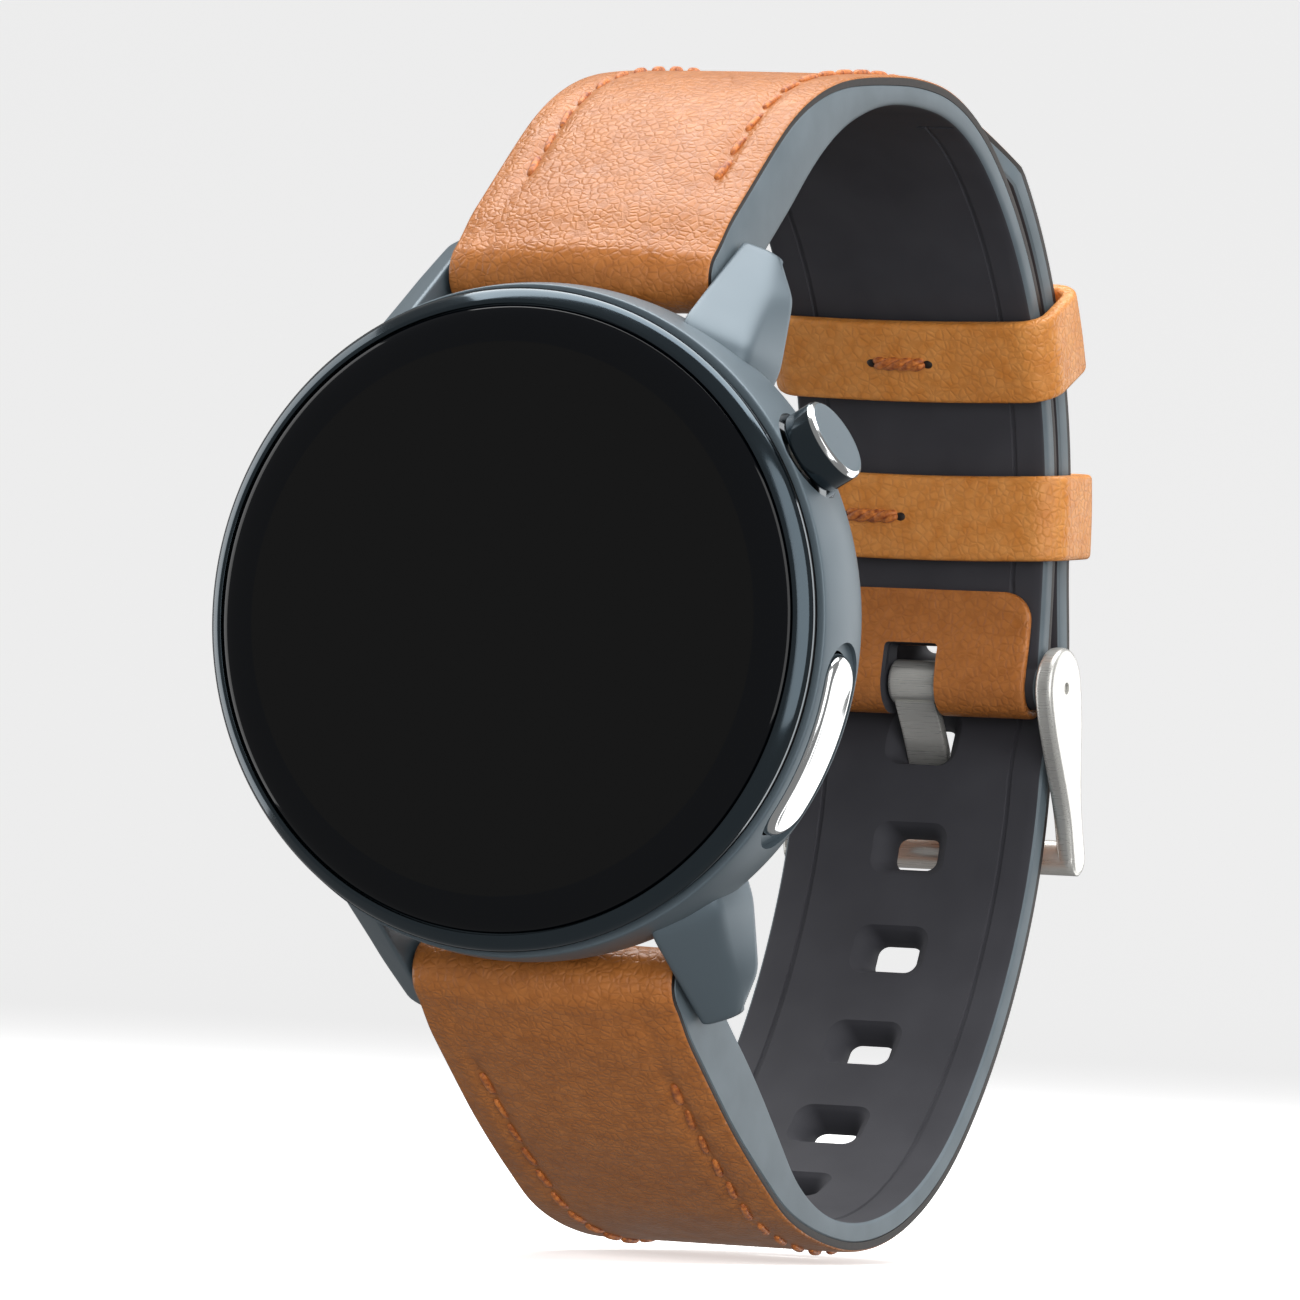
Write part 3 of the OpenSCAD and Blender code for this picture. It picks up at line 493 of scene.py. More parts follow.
# The wall bulges as belly * 4u(1 - u) between its foot and its top, with softened edges
def caseProfile():
    c = case
    u = np.linspace(0, 1, 12)
    radius = c["wall"] - 0.35 + 0.2 * u + c["belly"] * 4 * u * (1 - u)
    wall = np.stack([radius, 2.3 + (c["top"] - 0.3 - 2.3) * u], -1)
    foot = softened([(c["cover"], c["back"], 0), (c["wall"] - 1.1, c["back"], 0.35), (*wall[0], 0)], closed=False)
    rim = softened([(*wall[-1], 0), (c["wall"] - 0.22, c["top"], 0.15), (c["rim"] + 0.02, c["top"], 0.05),
                    (c["rim"], c["groove"], 0)], closed=False)
    seat = [(c["cavity"], c["groove"]), (c["cavity"], 3.4), (c["ledge"], 3.4), (c["ledge"], 2.6), (c["cover"], 2.6)]
    return np.vstack([foot[:-1], wall[:-1], rim, seat])


# A stadium-shaped plug that points out through the case side; its floor can follow the round wall
def plugCutter(name, length, width, floor, follows, material):
    loop = stadium(length, width)
    origin, axis, u, v = (np.array(w, float) for w in radialAxes(button["angle"], button["height"]))
    low = np.sqrt(floor ** 2 - loop[:, 1] ** 2) if follows else np.full(len(loop), floor)
    out = np.stack([low, np.full(len(loop), 26.0)])
    grid = origin + out[..., None] * axis + loop[None, :, 0:1] * u + loop[None, :, 1:2] * v
    return skin(name, grid, [material])


# A lug is lofted through four edge lines: each ring is their quadrilateral with softened corners,
# and the rings shrink over a short dome at the tip
def makeLug(sideX, sideZ):
    t = np.linspace(0, 1, lug["rings"])
    edges = []
    for key in ("innerFront", "ridge", "outerBack", "innerBack"):
        points = np.array(lug[key], float)
        reach = np.concatenate([[0], np.cumsum(np.linalg.norm(np.diff(points, axis=0), axis=1))])
        line = np.stack([np.interp(t, reach / reach[-1], points[:, k]) for k in range(3)], -1)
        for _ in range(3):  # eases the bends of the line
            line[1:-1] = (line[:-2] + 2 * line[1:-1] + line[2:]) / 4
        edges.append(line)
    rings = []
    for quad in np.stack(edges, 1):
        cuts = np.array([0.7, 0.9, 0.7, 0.4])[:, None] * lug["corner"]
        rings.append(softened(np.hstack([quad, cuts]), steps=4))
    last = rings[-1]
    middle = last.mean(0)
    ahead = (last - rings[-2]).mean(0)
    ahead /= np.linalg.norm(ahead)
    for size, move in ((0.93, 0.16), (0.8, 0.3), (0.55, 0.42), (0.25, 0.47)):
        rings.append(middle + (last - middle) * size + ahead * move)
    grid = np.array(rings)
    grid = np.stack([sideX * grid[..., 0], -grid[..., 2], sideZ * grid[..., 1]], -1)
    return skin("lug", grid, [aluminium], sharp=50)


# The turned ring loses the places of the button and the crown, then gets its four lugs
def makeCase():
    ring = turned("caseRing", caseProfile(), [aluminium], dialAxes, 288, sharp=40)
    c = case
    pocket = np.array([
        (0.01, 19.0), (c["bore"], 19.0), (c["bore"], c["pocketFloor"]), (c["pocket"], c["pocketFloor"]),
        (c["pocket"], c["beyond"]), (0.01, c["beyond"])])
    cutters = [plugCutter("dish", c["dishLong"], c["dishWide"], c["dishFloor"], True, aluminium),
               plugCutter("slot", c["slotLong"], c["slotWide"], c["slotFloor"], False, plating),
               turned("pocket", pocket, [plating], crownAxes, 64, ring=False)]
    for cutter in cutters:
        cut(ring, cutter, 40)
        bpy.data.objects.remove(cutter)
    return joined("caseBody", [ring] + [makeLug(sx, sz) for sx in (-1, 1) for sz in (-1, 1)])


place(makeCase(), "case", "case_paint", "mid_case")
print("case made")


# The bars' places and all sizes are in millimetres. Each stretch of a half is (length, heading at its end).
strap = {
    "barY": 0.3, "barZ": 24.5, "width": 20.1, "narrow": 0.0, "narrowTo": 40,
    "pad": 5.8, "band": 2.2, "taperFrom": 11, "taperTo": 34, "leatherInset": 0.05, "edgeSkin": 0.75,
    "gap": 0.45, "coreRadius": 1.7, "foldRadius": 2.4, "tipLong": 6.0, "tipIn": 2.8,
    "short": [(14, 40), (11.9, 14), (14.7, -4), (11.3, -34), (16.5, -62), (15.2, -88), (11.2, -93)],
    "long": [(22.6, -36), (3.4, -24), (15.5, 10), (15.9, 45), (19.8, 70), (9.6, 86)],
}


# A chain of arcs: along each stretch the heading turns evenly to its end value
def arcChain(start, heading, stretches):
    p, h = np.array(start, float), math.radians(heading)
    out = [p[None]]
    for length, endHeading in stretches:
        count = math.ceil(length / 0.4)
        end = math.radians(endHeading)
        u = np.arange(1, count + 1) / count
        a = h + (end - h) * u
        if abs(end - h) < 1e-6:
            stretch = p + (u * length)[:, None] * [math.cos(h), math.sin(h)]
        else:
            stretch = p + length / (end - h) * np.stack([np.sin(a) - math.sin(h), math.cos(h) - np.cos(a)], -1)
        out.append(stretch)
        p, h = stretch[-1], end
    return np.vstack(out)


def measured(points):  # a route with its arc length, directions and left normals, every 0.4 mm
    s = np.concatenate([[0], np.cumsum(np.linalg.norm(np.diff(points, axis=0), axis=1))])
    even = np.linspace(0, s[-1], int(s[-1] / 0.4) + 1)
    p = np.stack([np.interp(even, s, points[:, k]) for k in range(2)], -1)
    d = np.gradient(p, axis=0)
    d /= np.linalg.norm(d, axis=1)[:, None]
    return {"s": even, "p": p, "d": d, "n": np.stack([-d[:, 1], d[:, 0]], -1), "length": s[-1]}


# The point at a distance s along a route and off to its left, straight on past either end
def onRoute(route, s, off, x):
    s, off, x = np.broadcast_arrays(np.asarray(s, float), off, x)
    beyond = np.minimum(s, 0) + np.maximum(s - route["length"], 0)
    p, n, d = (np.stack([np.interp(s, route["s"], route[k][:, j]) for j in range(2)], -1) for k in "pnd")
    yz = p + d * beyond[..., None] + n * off[..., None]
    return np.concatenate([x[..., None], yz], -1)


def curve(a, b, c, d, count):  # a cubic curve through a and d that leaves towards b and arrives from c
    t = (np.arange(1, count + 1) / count)[:, None]
    return (1 - t) ** 3 * a + 3 * (1 - t) ** 2 * t * b + 3 * (1 - t) * t ** 2 * c + t ** 3 * d


def ease(u):  # 0 to 1 with level ends: u * u * (3 - 2u)
    u = np.clip(u, 0, 1)
    return u * u * (3 - 2 * u)


shortRoute = measured(arcChain((strap["barY"], strap["barZ"]), 40, strap["short"]))
buckleBar = shortRoute["p"][-1]
lift = strap["band"] + strap["gap"]
inTail = (shortRoute["s"] <= shortRoute["length"] - 10.5) & (shortRoute["s"] >= 50.5)
tail = (shortRoute["p"] + shortRoute["n"] * lift)[inTail][::-1]
rise = arcChain((strap["barY"], -strap["barZ"]), -38, strap["long"])
overBar = buckleBar + [strap["foldRadius"] + strap["gap"] + strap["band"] / 2 - 0.05, 0.6]
riseEnd = rise[-1]
riseHeading = math.radians(strap["long"][-1][1])
riseAim = np.array([math.cos(riseHeading), math.sin(riseHeading)])
longRoute = measured(np.vstack([
    rise, curve(riseEnd, riseEnd + 2.6 * riseAim, overBar - [0, 2.8], overBar, 14),
    curve(overBar, overBar + [0, 3], tail[0] - [0, 3.4], tail[0], 16), tail[1:]]))


def padding(s):  # 1 at the lugs, 0 where the strap is a plain band
    return 1 - ease((s - strap["taperFrom"]) / (strap["taperTo"] - strap["taperFrom"]))


def thickness(s):
    return strap["band"] + (strap["pad"] - strap["band"]) * padding(s) - 0.8 * (1 - ease(s / 4))


def halfWidth(route, s):  # the strap narrows a little towards the buckle
    y = np.interp(s, route["s"], route["p"][:, 0])
    return strap["width"] / 2 - strap["narrow"] / 2 * np.clip(y / strap["narrowTo"], 0, 1)


# The tail narrows by an even slope over its last stretch, and its end corners are round
def tailHalf(half, s, end):
    slope = strap["tipIn"] * np.clip((s - end + strap["tipLong"]) / strap["tipLong"], 0, 1)
    return half - slope - 1.6 * (1 - np.sqrt(1 - np.clip((s - end + 1.6) / 1.65, 0, 1) ** 2))


def forward(route, back, on):  # the direction from one distance along a route to another
    step = onRoute(route, on, 0.0, 0.0) - onRoute(route, back, 0.0, 0.0)
    return step / np.linalg.norm(step)


print("routes laid")


liner = {"corner": 0.45, "grooveIn": 2.6, "grooveHalf": 0.13, "grooveDeep": 0.13, "slotHalf": 0.22, "slotDeep": 0.35,
         "step": 0.7, "columns": 33}


# The liner's section is swept along the route. Columns go along the inner face, up one side,
# back under the leather and down the other side; engraved lines are columns pushed in.
def makeLiner(name, route, outSide, groove, slotAt, barEnd):
    end = route["length"]
    core = strap["coreRadius"]
    s = np.arange(0.02, end, liner["step"])
    front = -core * np.cos(np.linspace(0.02, np.pi / 2, 9))
    extra = [] if slotAt is None else slotAt + liner["slotHalf"] * np.array([-1, -0.7, 0.7, 1])
    s = np.unique(np.concatenate([front, s, extra]))
    if barEnd:
        s = np.concatenate([s[s < end - core - 0.1], end + core * -np.cos(np.linspace(0.15, np.pi - 0.02, 18))])
    else:
        s = np.concatenate([s[s < end - 2.5], end - 2.5 + 2.5 * np.sin(np.linspace(0, np.pi / 2 - 0.02, 10))])
    t = thickness(np.maximum(s, 0))
    low, high = t / 2, t / 2 - strap["edgeSkin"]
    disc = np.sqrt(np.maximum(core ** 2 - np.minimum(s, 0) ** 2, 0.0004))
    low, high = np.where(s < 0, disc, low), np.where(s < 0, disc, high)
    half = halfWidth(route, s)
    if barEnd:
        atBar = np.sqrt(np.maximum(core ** 2 - (s - end) ** 2, 0.0004))
        low = np.where(s > end, atBar, np.maximum(low, atBar * (s > end - core)))
        high = np.where(s > end, atBar, np.maximum(high, atBar * (s > end - core)))
    else:  # rounded tail tip
        half = tailHalf(half, s, end)
    c = np.minimum(liner["corner"], low * 0.8)[:, None]
    g, w = liner["grooveIn"], liner["grooveHalf"]
    across = np.linspace(-1, 1, liner["columns"])
    inner = (half[:, None] - c) * across[None]
    lines = np.array([-1.6, -1, 1, 1.6]) * w
    marks = np.concatenate([-(half[:, None] - g) + lines, (half[:, None] - g) + lines], 1)
    inner = np.sort(np.concatenate([inner, marks], 1), 1)
    fromLine = np.abs(np.abs(inner) - (half[:, None] - g))
    deep = liner["grooveDeep"] * (fromLine < 1.1 * w)
    deep = deep * ((s > groove[0]) & (s < groove[1]))[:, None]
    if slotAt is not None:
        inSlot = (np.abs(s - slotAt) < liner["slotHalf"] * 0.9)[:, None]
        reach = np.abs(inner) - (half[:, None] - g)
        deep = np.maximum(deep, liner["slotDeep"] * (inSlot & (reach > -0.5) & (reach < g - 0.9)))
    turn = np.linspace(0, np.pi / 2, 4)[None]
    bx = half[:, None] - c + c * np.sin(turn)
    bz = -low[:, None] + c - c * np.cos(turn)
    topX = half[:, None] - np.array([[0.0, 0.08, 0.2]])
    topZ = high[:, None] - np.array([[0.12, 0.03, 0.0]])
    topZ = np.maximum(topZ, bz[:, -1:] + 0.01)
    x = np.concatenate([inner, bx[:, 1:], topX, -topX[:, ::-1], -bx[:, :0:-1]], 1)
    z = np.concatenate([-low[:, None] + deep, bz[:, 1:], topZ, topZ[:, ::-1], bz[:, :0:-1]], 1)
    grid = onRoute(route, s[:, None], outSide * z, x)
    k = inner.shape[1]
    sideColumns = np.zeros(x.shape[1], int)
    sideColumns[k:k + 5] = 1
    sideColumns[-6:-1] = 1
    return skin(name, grid, [rubber, rubberEdgePaintAndHighlight], faceMaterial=sideColumns[None], sharp=50)


shortLiner = makeLiner("shortLiner", shortRoute, 1, (45, 88), 45, True)
longLiner = makeLiner("longLiner", longRoute, -1, (28, 118), None, False)
print("liners made")


skinShape = {"stitchIn": 2.7, "valley": 0.36, "valleyHalf": 0.5, "crown": 0.55, "edgeDrop": 0.30, "rim": 0.3,
             "columns": 61, "step": 0.8}


# The leather starts at the inner face, wraps the round end of the strap and runs along its outer
# face. Its height over that face is a low crown between the two stitch lines, which lie in valleys.
def makeLeather(name, route, outSide, last, tip):
    core, outer = strap["coreRadius"] + 0.02, thickness(0.0) / 2
    phi = np.linspace(0, np.pi, 22)[:-1]
    s = np.arange(0, last, skinShape["step"])
    if tip:
        s = np.concatenate([s[s < last - 2], last - 2 + 2 * np.sin(np.linspace(0, np.pi / 2 - 0.02, 8))])
    t = thickness(s)
    topS, topOff = np.concatenate([-outer * np.sin(phi), s]), np.concatenate([-outer * np.cos(phi), t / 2])
    lowS = np.concatenate([-core * np.sin(phi), s])
    thin = t / 2 - strap["edgeSkin"]
    lowOff = np.concatenate([-core * np.cos(phi), np.where(s < 1.2, np.maximum(thin, core * (1 - s / 2)), thin)])
    along = np.concatenate([np.zeros(len(phi)), s])
    half = halfWidth(route, along) - strap["leatherInset"]
    if tip:
        half = tailHalf(half, along, last)
    rim = skinShape["rim"]
    x = (half[:, None] - rim) * np.sin(np.linspace(-1, 1, skinShape["columns"]) * np.pi / 2)[None]
    fromEdge = half[:, None] - np.abs(x)
    puff = padding(along)[:, None] * np.concatenate([np.sin(phi / 2) ** 2, np.ones(len(s))])[:, None]
    inField = np.clip((fromEdge - skinShape["stitchIn"]) / (half[:, None] - skinShape["stitchIn"]), 0, 1)
    crownUp = skinShape["crown"] * np.sin(inField * np.pi / 2) ** 0.6
    valley = skinShape["valley"] * np.exp(-((fromEdge - skinShape["stitchIn"]) / skinShape["valleyHalf"]) ** 2)
    drop = skinShape["edgeDrop"] * np.exp(-(fromEdge / 1.0) ** 2)
    nearStitch = ease((along - 5) / 4)[:, None] * np.ones_like(x)
    up = puff * (crownUp - valley * nearStitch - drop) - 0.06 * (1 - puff) * np.exp(-(fromEdge / 0.5) ** 2)
    direction = np.stack([topS - lowS, topOff - lowOff], -1)
    length = np.linalg.norm(direction, axis=1)
    direction /= length[:, None]
    turn = np.linspace(np.pi / 2, 0, 4)[None, 1:]
    rx = half[:, None] - rim + rim * np.cos(turn)
    rz = length[:, None] - rim + rim * np.sin(turn) + up[:, :1]
    xs = np.concatenate([x, rx, half[:, None], -half[:, None], -rx[:, ::-1]], 1)
    bottom = np.zeros((len(length), 2))
    hs = np.concatenate([length[:, None] + up, rz, bottom, rz[:, ::-1]], 1)
    sGrid = lowS[:, None] + direction[:, :1] * hs
    offGrid = lowOff[:, None] + direction[:, 1:] * hs
    grid = onRoute(route, sGrid, outSide * offGrid, xs)
    k = x.shape[1]
    kind = np.zeros(xs.shape[1], int)
    kind[k + 1:k + 6] = 1
    return skin(name, grid, [leather, leatherEdgeWaxAndPitShade], faceMaterial=kind[None], sharp=55)


shortLeather = makeLeather("shortLeather", shortRoute, 1, shortRoute["length"] - 2.4, False)
longLeather = makeLeather("longLeather", longRoute, -1, longRoute["length"] - 0.3, True)
print("leather made")


hole = {"first": 89.5, "pitch": 8.3, "count": 7, "width": 3.5, "length": 2.5, "tongueLength": 3.2, "corner": 0.8,
        "flareA": 1.0, "flareB": 0.6}


# A loop of four quarter circles joined by straight sides
def roundedRectangle(halfA, halfB, corner, count=9):
    t = np.linspace(0, np.pi / 2, count)
    quarter = np.stack([np.cos(t), np.sin(t)], -1)
    out = []
    for k, (sa, sb) in enumerate(((1, 1), (-1, 1), (-1, -1), (1, -1))):
        arc = quarter if k % 2 == 0 else quarter[::-1]
        out.append(np.stack([sa * (halfA - corner + corner * arc[:, 0]),
                             sb * (halfB - corner + corner * arc[:, 1])], -1))
    return np.vstack(out)


# Each hole is a tapered rounded rectangle: its half sizes grow by flareA and flareB at the inner face
def makeHoleCutter():
    levels = np.array([-3.0, -0.7, -0.2, 0.35, 0.75, 0.97, 1.1, 1.6])  # towards the inner face
    flare = np.array([0, 0, 0.12, 0.4, 0.7, 0.95, 1.2, 1.9])
    made = []
    for k in range(-1, hole["count"] - 1):
        at = hole["first"] - k * hole["pitch"]
        length = hole["tongueLength"] if k == 0 else hole["length"]
        loops = np.stack([roundedRectangle(hole["width"] / 2 + f * hole["flareA"], length / 2 + f * hole["flareB"],
                                           hole["corner"] + f * 0.35) for f in flare])
        base = onRoute(longRoute, at, levels, 0.0)
        ahead = forward(longRoute, at, at + 0.01)
        grid = base[:, None] + loops[..., 0:1] * np.array([1.0, 0, 0]) + loops[..., 1:2] * ahead
        made.append(skin(f"hole{k + 2}", grid, [rubber]))
    return joined("holeCutter", made)


slot = {"half": 2.15, "before": 2.8, "halfLong": 4.4, "corner": 0.35, "reach": 6.0}


def makeSlotCutter():  # a rounded box across the bar, where the tongue's loop sits
    levels = slot["reach"] * np.array([-1.0, 1.0])
    loop = roundedRectangle(slot["half"], slot["halfLong"], slot["corner"])
    end = shortRoute["length"]
    centre = end - slot["before"] + slot["halfLong"]
    base = onRoute(shortRoute, centre, levels, 0.0)
    ahead = forward(shortRoute, end - 0.4, end)
    grid = base[:, None] + loop[None, :, 0:1] * np.array([1.0, 0, 0]) + loop[None, :, 1:2] * ahead
    return skin("slotCutter", grid, [rubber])


holeCutter = makeHoleCutter()
slotCutter = makeSlotCutter()
cut(longLiner, holeCutter, 24)
cut(longLeather, holeCutter, 50)
cut(shortLiner, slotCutter, 50)
cut(shortLeather, slotCutter, 50)
for piece, body, slotName, layer in (
        (shortLiner, "short_strap", "strap_rubber", "liner"), (longLiner, "long_strap", "strap_rubber", "liner"),
        (shortLeather, "short_strap", "tan_leather", "leather"), (longLeather, "long_strap", "tan_leather", "leather")):
    place(piece, body, slotName, f"{body}_{layer}")
print("holes cut")


patch = {"long": 6.9, "thick": 0.7, "half": 9.3, "corner": 2.2, "rim": 0.25}


# A strip of leather that runs down the inner face and folds round the bar: its path eases out to
# the bar's radius, then follows most of a circle, with the thickness laid off square to the path
def makePatch():
    end, band = shortRoute["length"], strap["band"] / 2
    middle = band + patch["thick"] / 2 + 0.01
    radius = strap["foldRadius"] - patch["thick"] / 2
    straight = np.concatenate([np.linspace(0, 2.4, 14), np.linspace(2.7, patch["long"] - 0.15, 14)])
    lifted = (radius - middle) * ease((straight - 1.5) / (patch["long"] - 1.5))
    turn = np.linspace(-np.pi / 2, math.radians(105), 34)
    pathS = np.concatenate([end - patch["long"] + straight, end + radius * np.cos(turn)])
    pathOff = np.concatenate([-middle - lifted, radius * np.sin(turn)])
    d = np.gradient(np.stack([pathS, pathOff], -1), axis=0)
    d /= np.linalg.norm(d, axis=1)[:, None]
    along = np.concatenate([straight, np.full(len(turn), patch["long"])])
    r = patch["corner"]
    half = patch["half"] - r + np.sqrt(np.maximum(r ** 2 - np.maximum(r - along - 0.02, 0) ** 2, 0))
    rim = patch["rim"]
    t = np.linspace(-np.pi / 2, np.pi / 2, 7)
    edgeX, edgeH = rim * np.cos(t) - rim, patch["thick"] / 2 * np.sin(t)
    face = np.linspace(1, -1, 25)[1:-1]
    x = np.concatenate([half[:, None] + edgeX[None], (half[:, None] - rim) * face[None],
                        -(half[:, None] + edgeX[None, ::-1]), -(half[:, None] - rim) * face[None]], 1)
    h = np.concatenate([edgeH, np.full(23, patch["thick"] / 2), edgeH[::-1], np.full(23, -patch["thick"] / 2)])
    wave = 0.05 * np.sin(x / 2.1) * np.sin(along[:, None] * 0.9)
    sGrid = pathS[:, None] - d[:, 1:] * (h[None] + wave)
    offGrid = pathOff[:, None] + d[:, :1] * (h[None] + wave)
    return skin("buckleFold", onRoute(shortRoute, sGrid, offGrid, x), [leather], sharp=60)


buckleFold = cut(makePatch(), slotCutter, 60)
place(buckleFold, "short_strap", "tan_leather", "short_strap_patch")
bpy.data.objects.remove(holeCutter)
bpy.data.objects.remove(slotCutter)
print("fold made")


stitch = {"from": 7.6, "pitch": 3, "count": 14, "long": 2.45, "radius": 0.25, "slant": 9, "proud": 0.1, "dip": 0.3}


# A tube round a path of points: each ring is a circle of the given radius, square to the path
def tube(name, path, radius, materials, around=10):
    d = np.gradient(path, axis=0)
    d /= np.linalg.norm(d, axis=1)[:, None]
    ref = np.array([0.0, 0.0, 1.0]) if abs(d[0][2]) < 0.9 else np.array([0.0, 1.0, 0.0])
    side = np.cross(d, ref)
    side /= np.linalg.norm(side, axis=1)[:, None]
    up = np.cross(side, d)
    turn = np.linspace(0, 2 * np.pi, around, endpoint=False)
    ring = side[:, None] * np.cos(turn)[None, :, None] + up[:, None] * np.sin(turn)[None, :, None]
    return skin(name, path[:, None] + ring * np.asarray(radius)[..., None, None], materials, sharp=80)


def seamHeight(outSide, s):  # the leather's height at a stitch line, in its valley
    up = padding(s) * (-skinShape["valley"]) * ease((s - 5) / 4)
    return outSide * (thickness(s) / 2 + up)


# Each stitch is a tube along the seam, slanted a little, whose middle stands proud of the leather
# and whose ends dip into it as the fourth power of the distance from the middle
def makeStitches(name, route, outSide):
    made = []
    t = np.linspace(-1, 1, 11)
    for side in (-1, 1):
        for k in range(stitch["count"]):
            middle = stitch["from"] + stitch["pitch"] * (k + 0.5)
            s = middle + t * stitch["long"] / 2
            fromEdge = skinShape["stitchIn"] + strap["leatherInset"]
            slant = outSide * t * math.sin(math.radians(stitch["slant"]))
            x = side * (halfWidth(route, s) - fromEdge + slant)
            height = seamHeight(outSide, s) + outSide * (stitch["proud"] - stitch["dip"] * t ** 4)
            thick = stitch["radius"] * (1.35 if k in (0, stitch["count"] - 1) else 1.0)
            radius = thick * np.sqrt(np.clip(1.04 - t ** 6, 0.05, 1))
            made.append(tube(f"{name}{side}{k}", onRoute(route, s, height, x), radius, [thread]))
    return joined(name, made)


place(makeStitches("shortStitches", shortRoute, 1), "short_strap", "orange_thread", "short_strap_stitching")
place(makeStitches("longStitches", longRoute, -1), "long_strap", "orange_thread", "long_strap_stitching")
print("stitches made")


keeper = {"upper": 69.5, "lower": 82.2, "width": 6.3, "thick": 1.1, "inGap": 0.55, "outGap": 0.65, "sideGap": 0.45,
          "corner": 2.4, "rim": 0.42, "bow": 0.25, "upperStitch": -0.45, "lowerStitch": -3.3}
backHalf = (strap["width"] - strap["narrow"]) / 2
keeperLow = -strap["band"] / 2 - keeper["inGap"] - keeper["thick"] / 2
keeperHigh = strap["band"] / 2 + lift + keeper["outGap"] + keeper["thick"] / 2


# A band bent into a loop: a rounded section carried round a rounded rectangle. Its inner side sags
# along the strap by bow * cos(x / wide * pi / 2).
def makeKeeper(name, at, body, node):
    middle, tall = (keeperLow + keeperHigh) / 2, (keeperHigh - keeperLow) / 2
    wide = backHalf + keeper["sideGap"] + keeper["thick"] / 2
    loop = roundedRectangle(wide, tall, keeper["corner"] - keeper["thick"] / 2, 12)
    gap = np.roll(loop, -1, 0) - loop
    fill = []
    for k in range(len(loop)):  # straight sides get points of their own
        steps = max(1, int(np.linalg.norm(gap[k]) / 1.2))
        fill.append(loop[k] + gap[k] * (np.arange(steps) / steps)[:, None])
    loop = np.vstack(fill)
    along = np.roll(loop, -1, 0) - np.roll(loop, 1, 0)
    normal = np.stack([along[:, 1], -along[:, 0]], -1)
    normal /= np.linalg.norm(normal, axis=1)[:, None]
    section = softened([(-keeper["width"] / 2, -keeper["thick"] / 2, keeper["rim"]),
                        (keeper["width"] / 2, -keeper["thick"] / 2, keeper["rim"]),
                        (keeper["width"] / 2, keeper["thick"] / 2, keeper["rim"]),
                        (0, keeper["thick"] / 2 + 0.08, 1.6),
                        (-keeper["width"] / 2, keeper["thick"] / 2, keeper["rim"])])
    bow = keeper["bow"] * np.cos(loop[:, 0] / wide * np.pi / 2) * np.clip(-loop[:, 1] / tall, 0, 1)
    flatX = loop[:, None, 0] + normal[:, None, 0] * section[None, :, 1]
    flatZ = middle + loop[:, None, 1] + normal[:, None, 1] * section[None, :, 1]
    base = onRoute(shortRoute, at, flatZ, flatX)
    ahead = forward(shortRoute, at - 0.2, at + 0.2)
    grid = base + (section[None, :, 0:1] + bow[:, None, None]) * ahead
    return place(skin(name, grid, [keeperLeatherPaintedLight], wrapRows=True, sharp=60), body, "tan_leather", node)


knot = {"half": 2.1, "turns": 1.3, "strand": 0.28, "stand": 0.14, "swayOut": 0.22, "swayAlong": 0.24, "tuck": 0.45,
        "pitAt": 2.25, "pitHalf": 0.5, "pitRadius": 0.42, "pitDeep": 0.2}


# Three strands wound round one another, each a helix that dips at its ends into a pit in the leather: a dark tube,
# painted shade in the stitch hole
def makeKeeperStitch(name, at, centre, body, node):
    made = []
    t = np.linspace(0, 1, 29)
    ahead = forward(shortRoute, at - 0.2, at + 0.2)
    face = keeperLow - keeper["thick"] / 2
    along = at + keeper["bow"] * 0.9
    for strand in range(3):
        turn = 2 * np.pi * (knot["turns"] * t + strand / 3)
        x = centre + knot["half"] * (2 * t - 1)
        off = face - knot["stand"] - knot["swayOut"] * np.sin(turn) + knot["tuck"] * (2 * t - 1) ** 8
        points = onRoute(shortRoute, along, off, x) + (knot["swayAlong"] * np.cos(turn))[:, None] * ahead
        radius = knot["strand"] * np.sqrt(np.clip(1.03 - (2 * t - 1) ** 10, 0.05, 1))
        made.append(tube(f"{name}{strand}", points, radius, [thread]))
    t = np.linspace(-1, 1, 9)
    # The pits: dark tubes in the edge colour, painted shade where the thread goes into the leather
    for end in (-1, 1):
        points = onRoute(shortRoute, along, face + knot["pitDeep"], centre + end * knot["pitAt"] + knot["pitHalf"] * t)
        made.append(tube(f"{name}Pit{end}", points, knot["pitRadius"] * np.sqrt(1.02 - t ** 2), [leatherEdgeWaxAndPitShade]))
    return place(joined(name, made), body, "orange_thread", node)


makeKeeper("upperLoop", keeper["upper"], "upper_keeper", "upper_keeper")
makeKeeper("lowerLoop", keeper["lower"], "short_strap", "lower_keeper")
makeKeeperStitch("upperLoopStitch", keeper["upper"], keeper["upperStitch"], "upper_keeper", "upper_keeper_stitches")
makeKeeperStitch("lowerLoopStitch", keeper["lower"], keeper["lowerStitch"], "short_strap", "lower_keeper_stitches")
print("keepers made")


buckle = {"boss": 3.0, "cross": 1.3, "reach": (4.2, -12.5), "gap": 0.4, "arm": 1.4, "rim": 0.45, "pin": 0.45,
          "sides": 40}


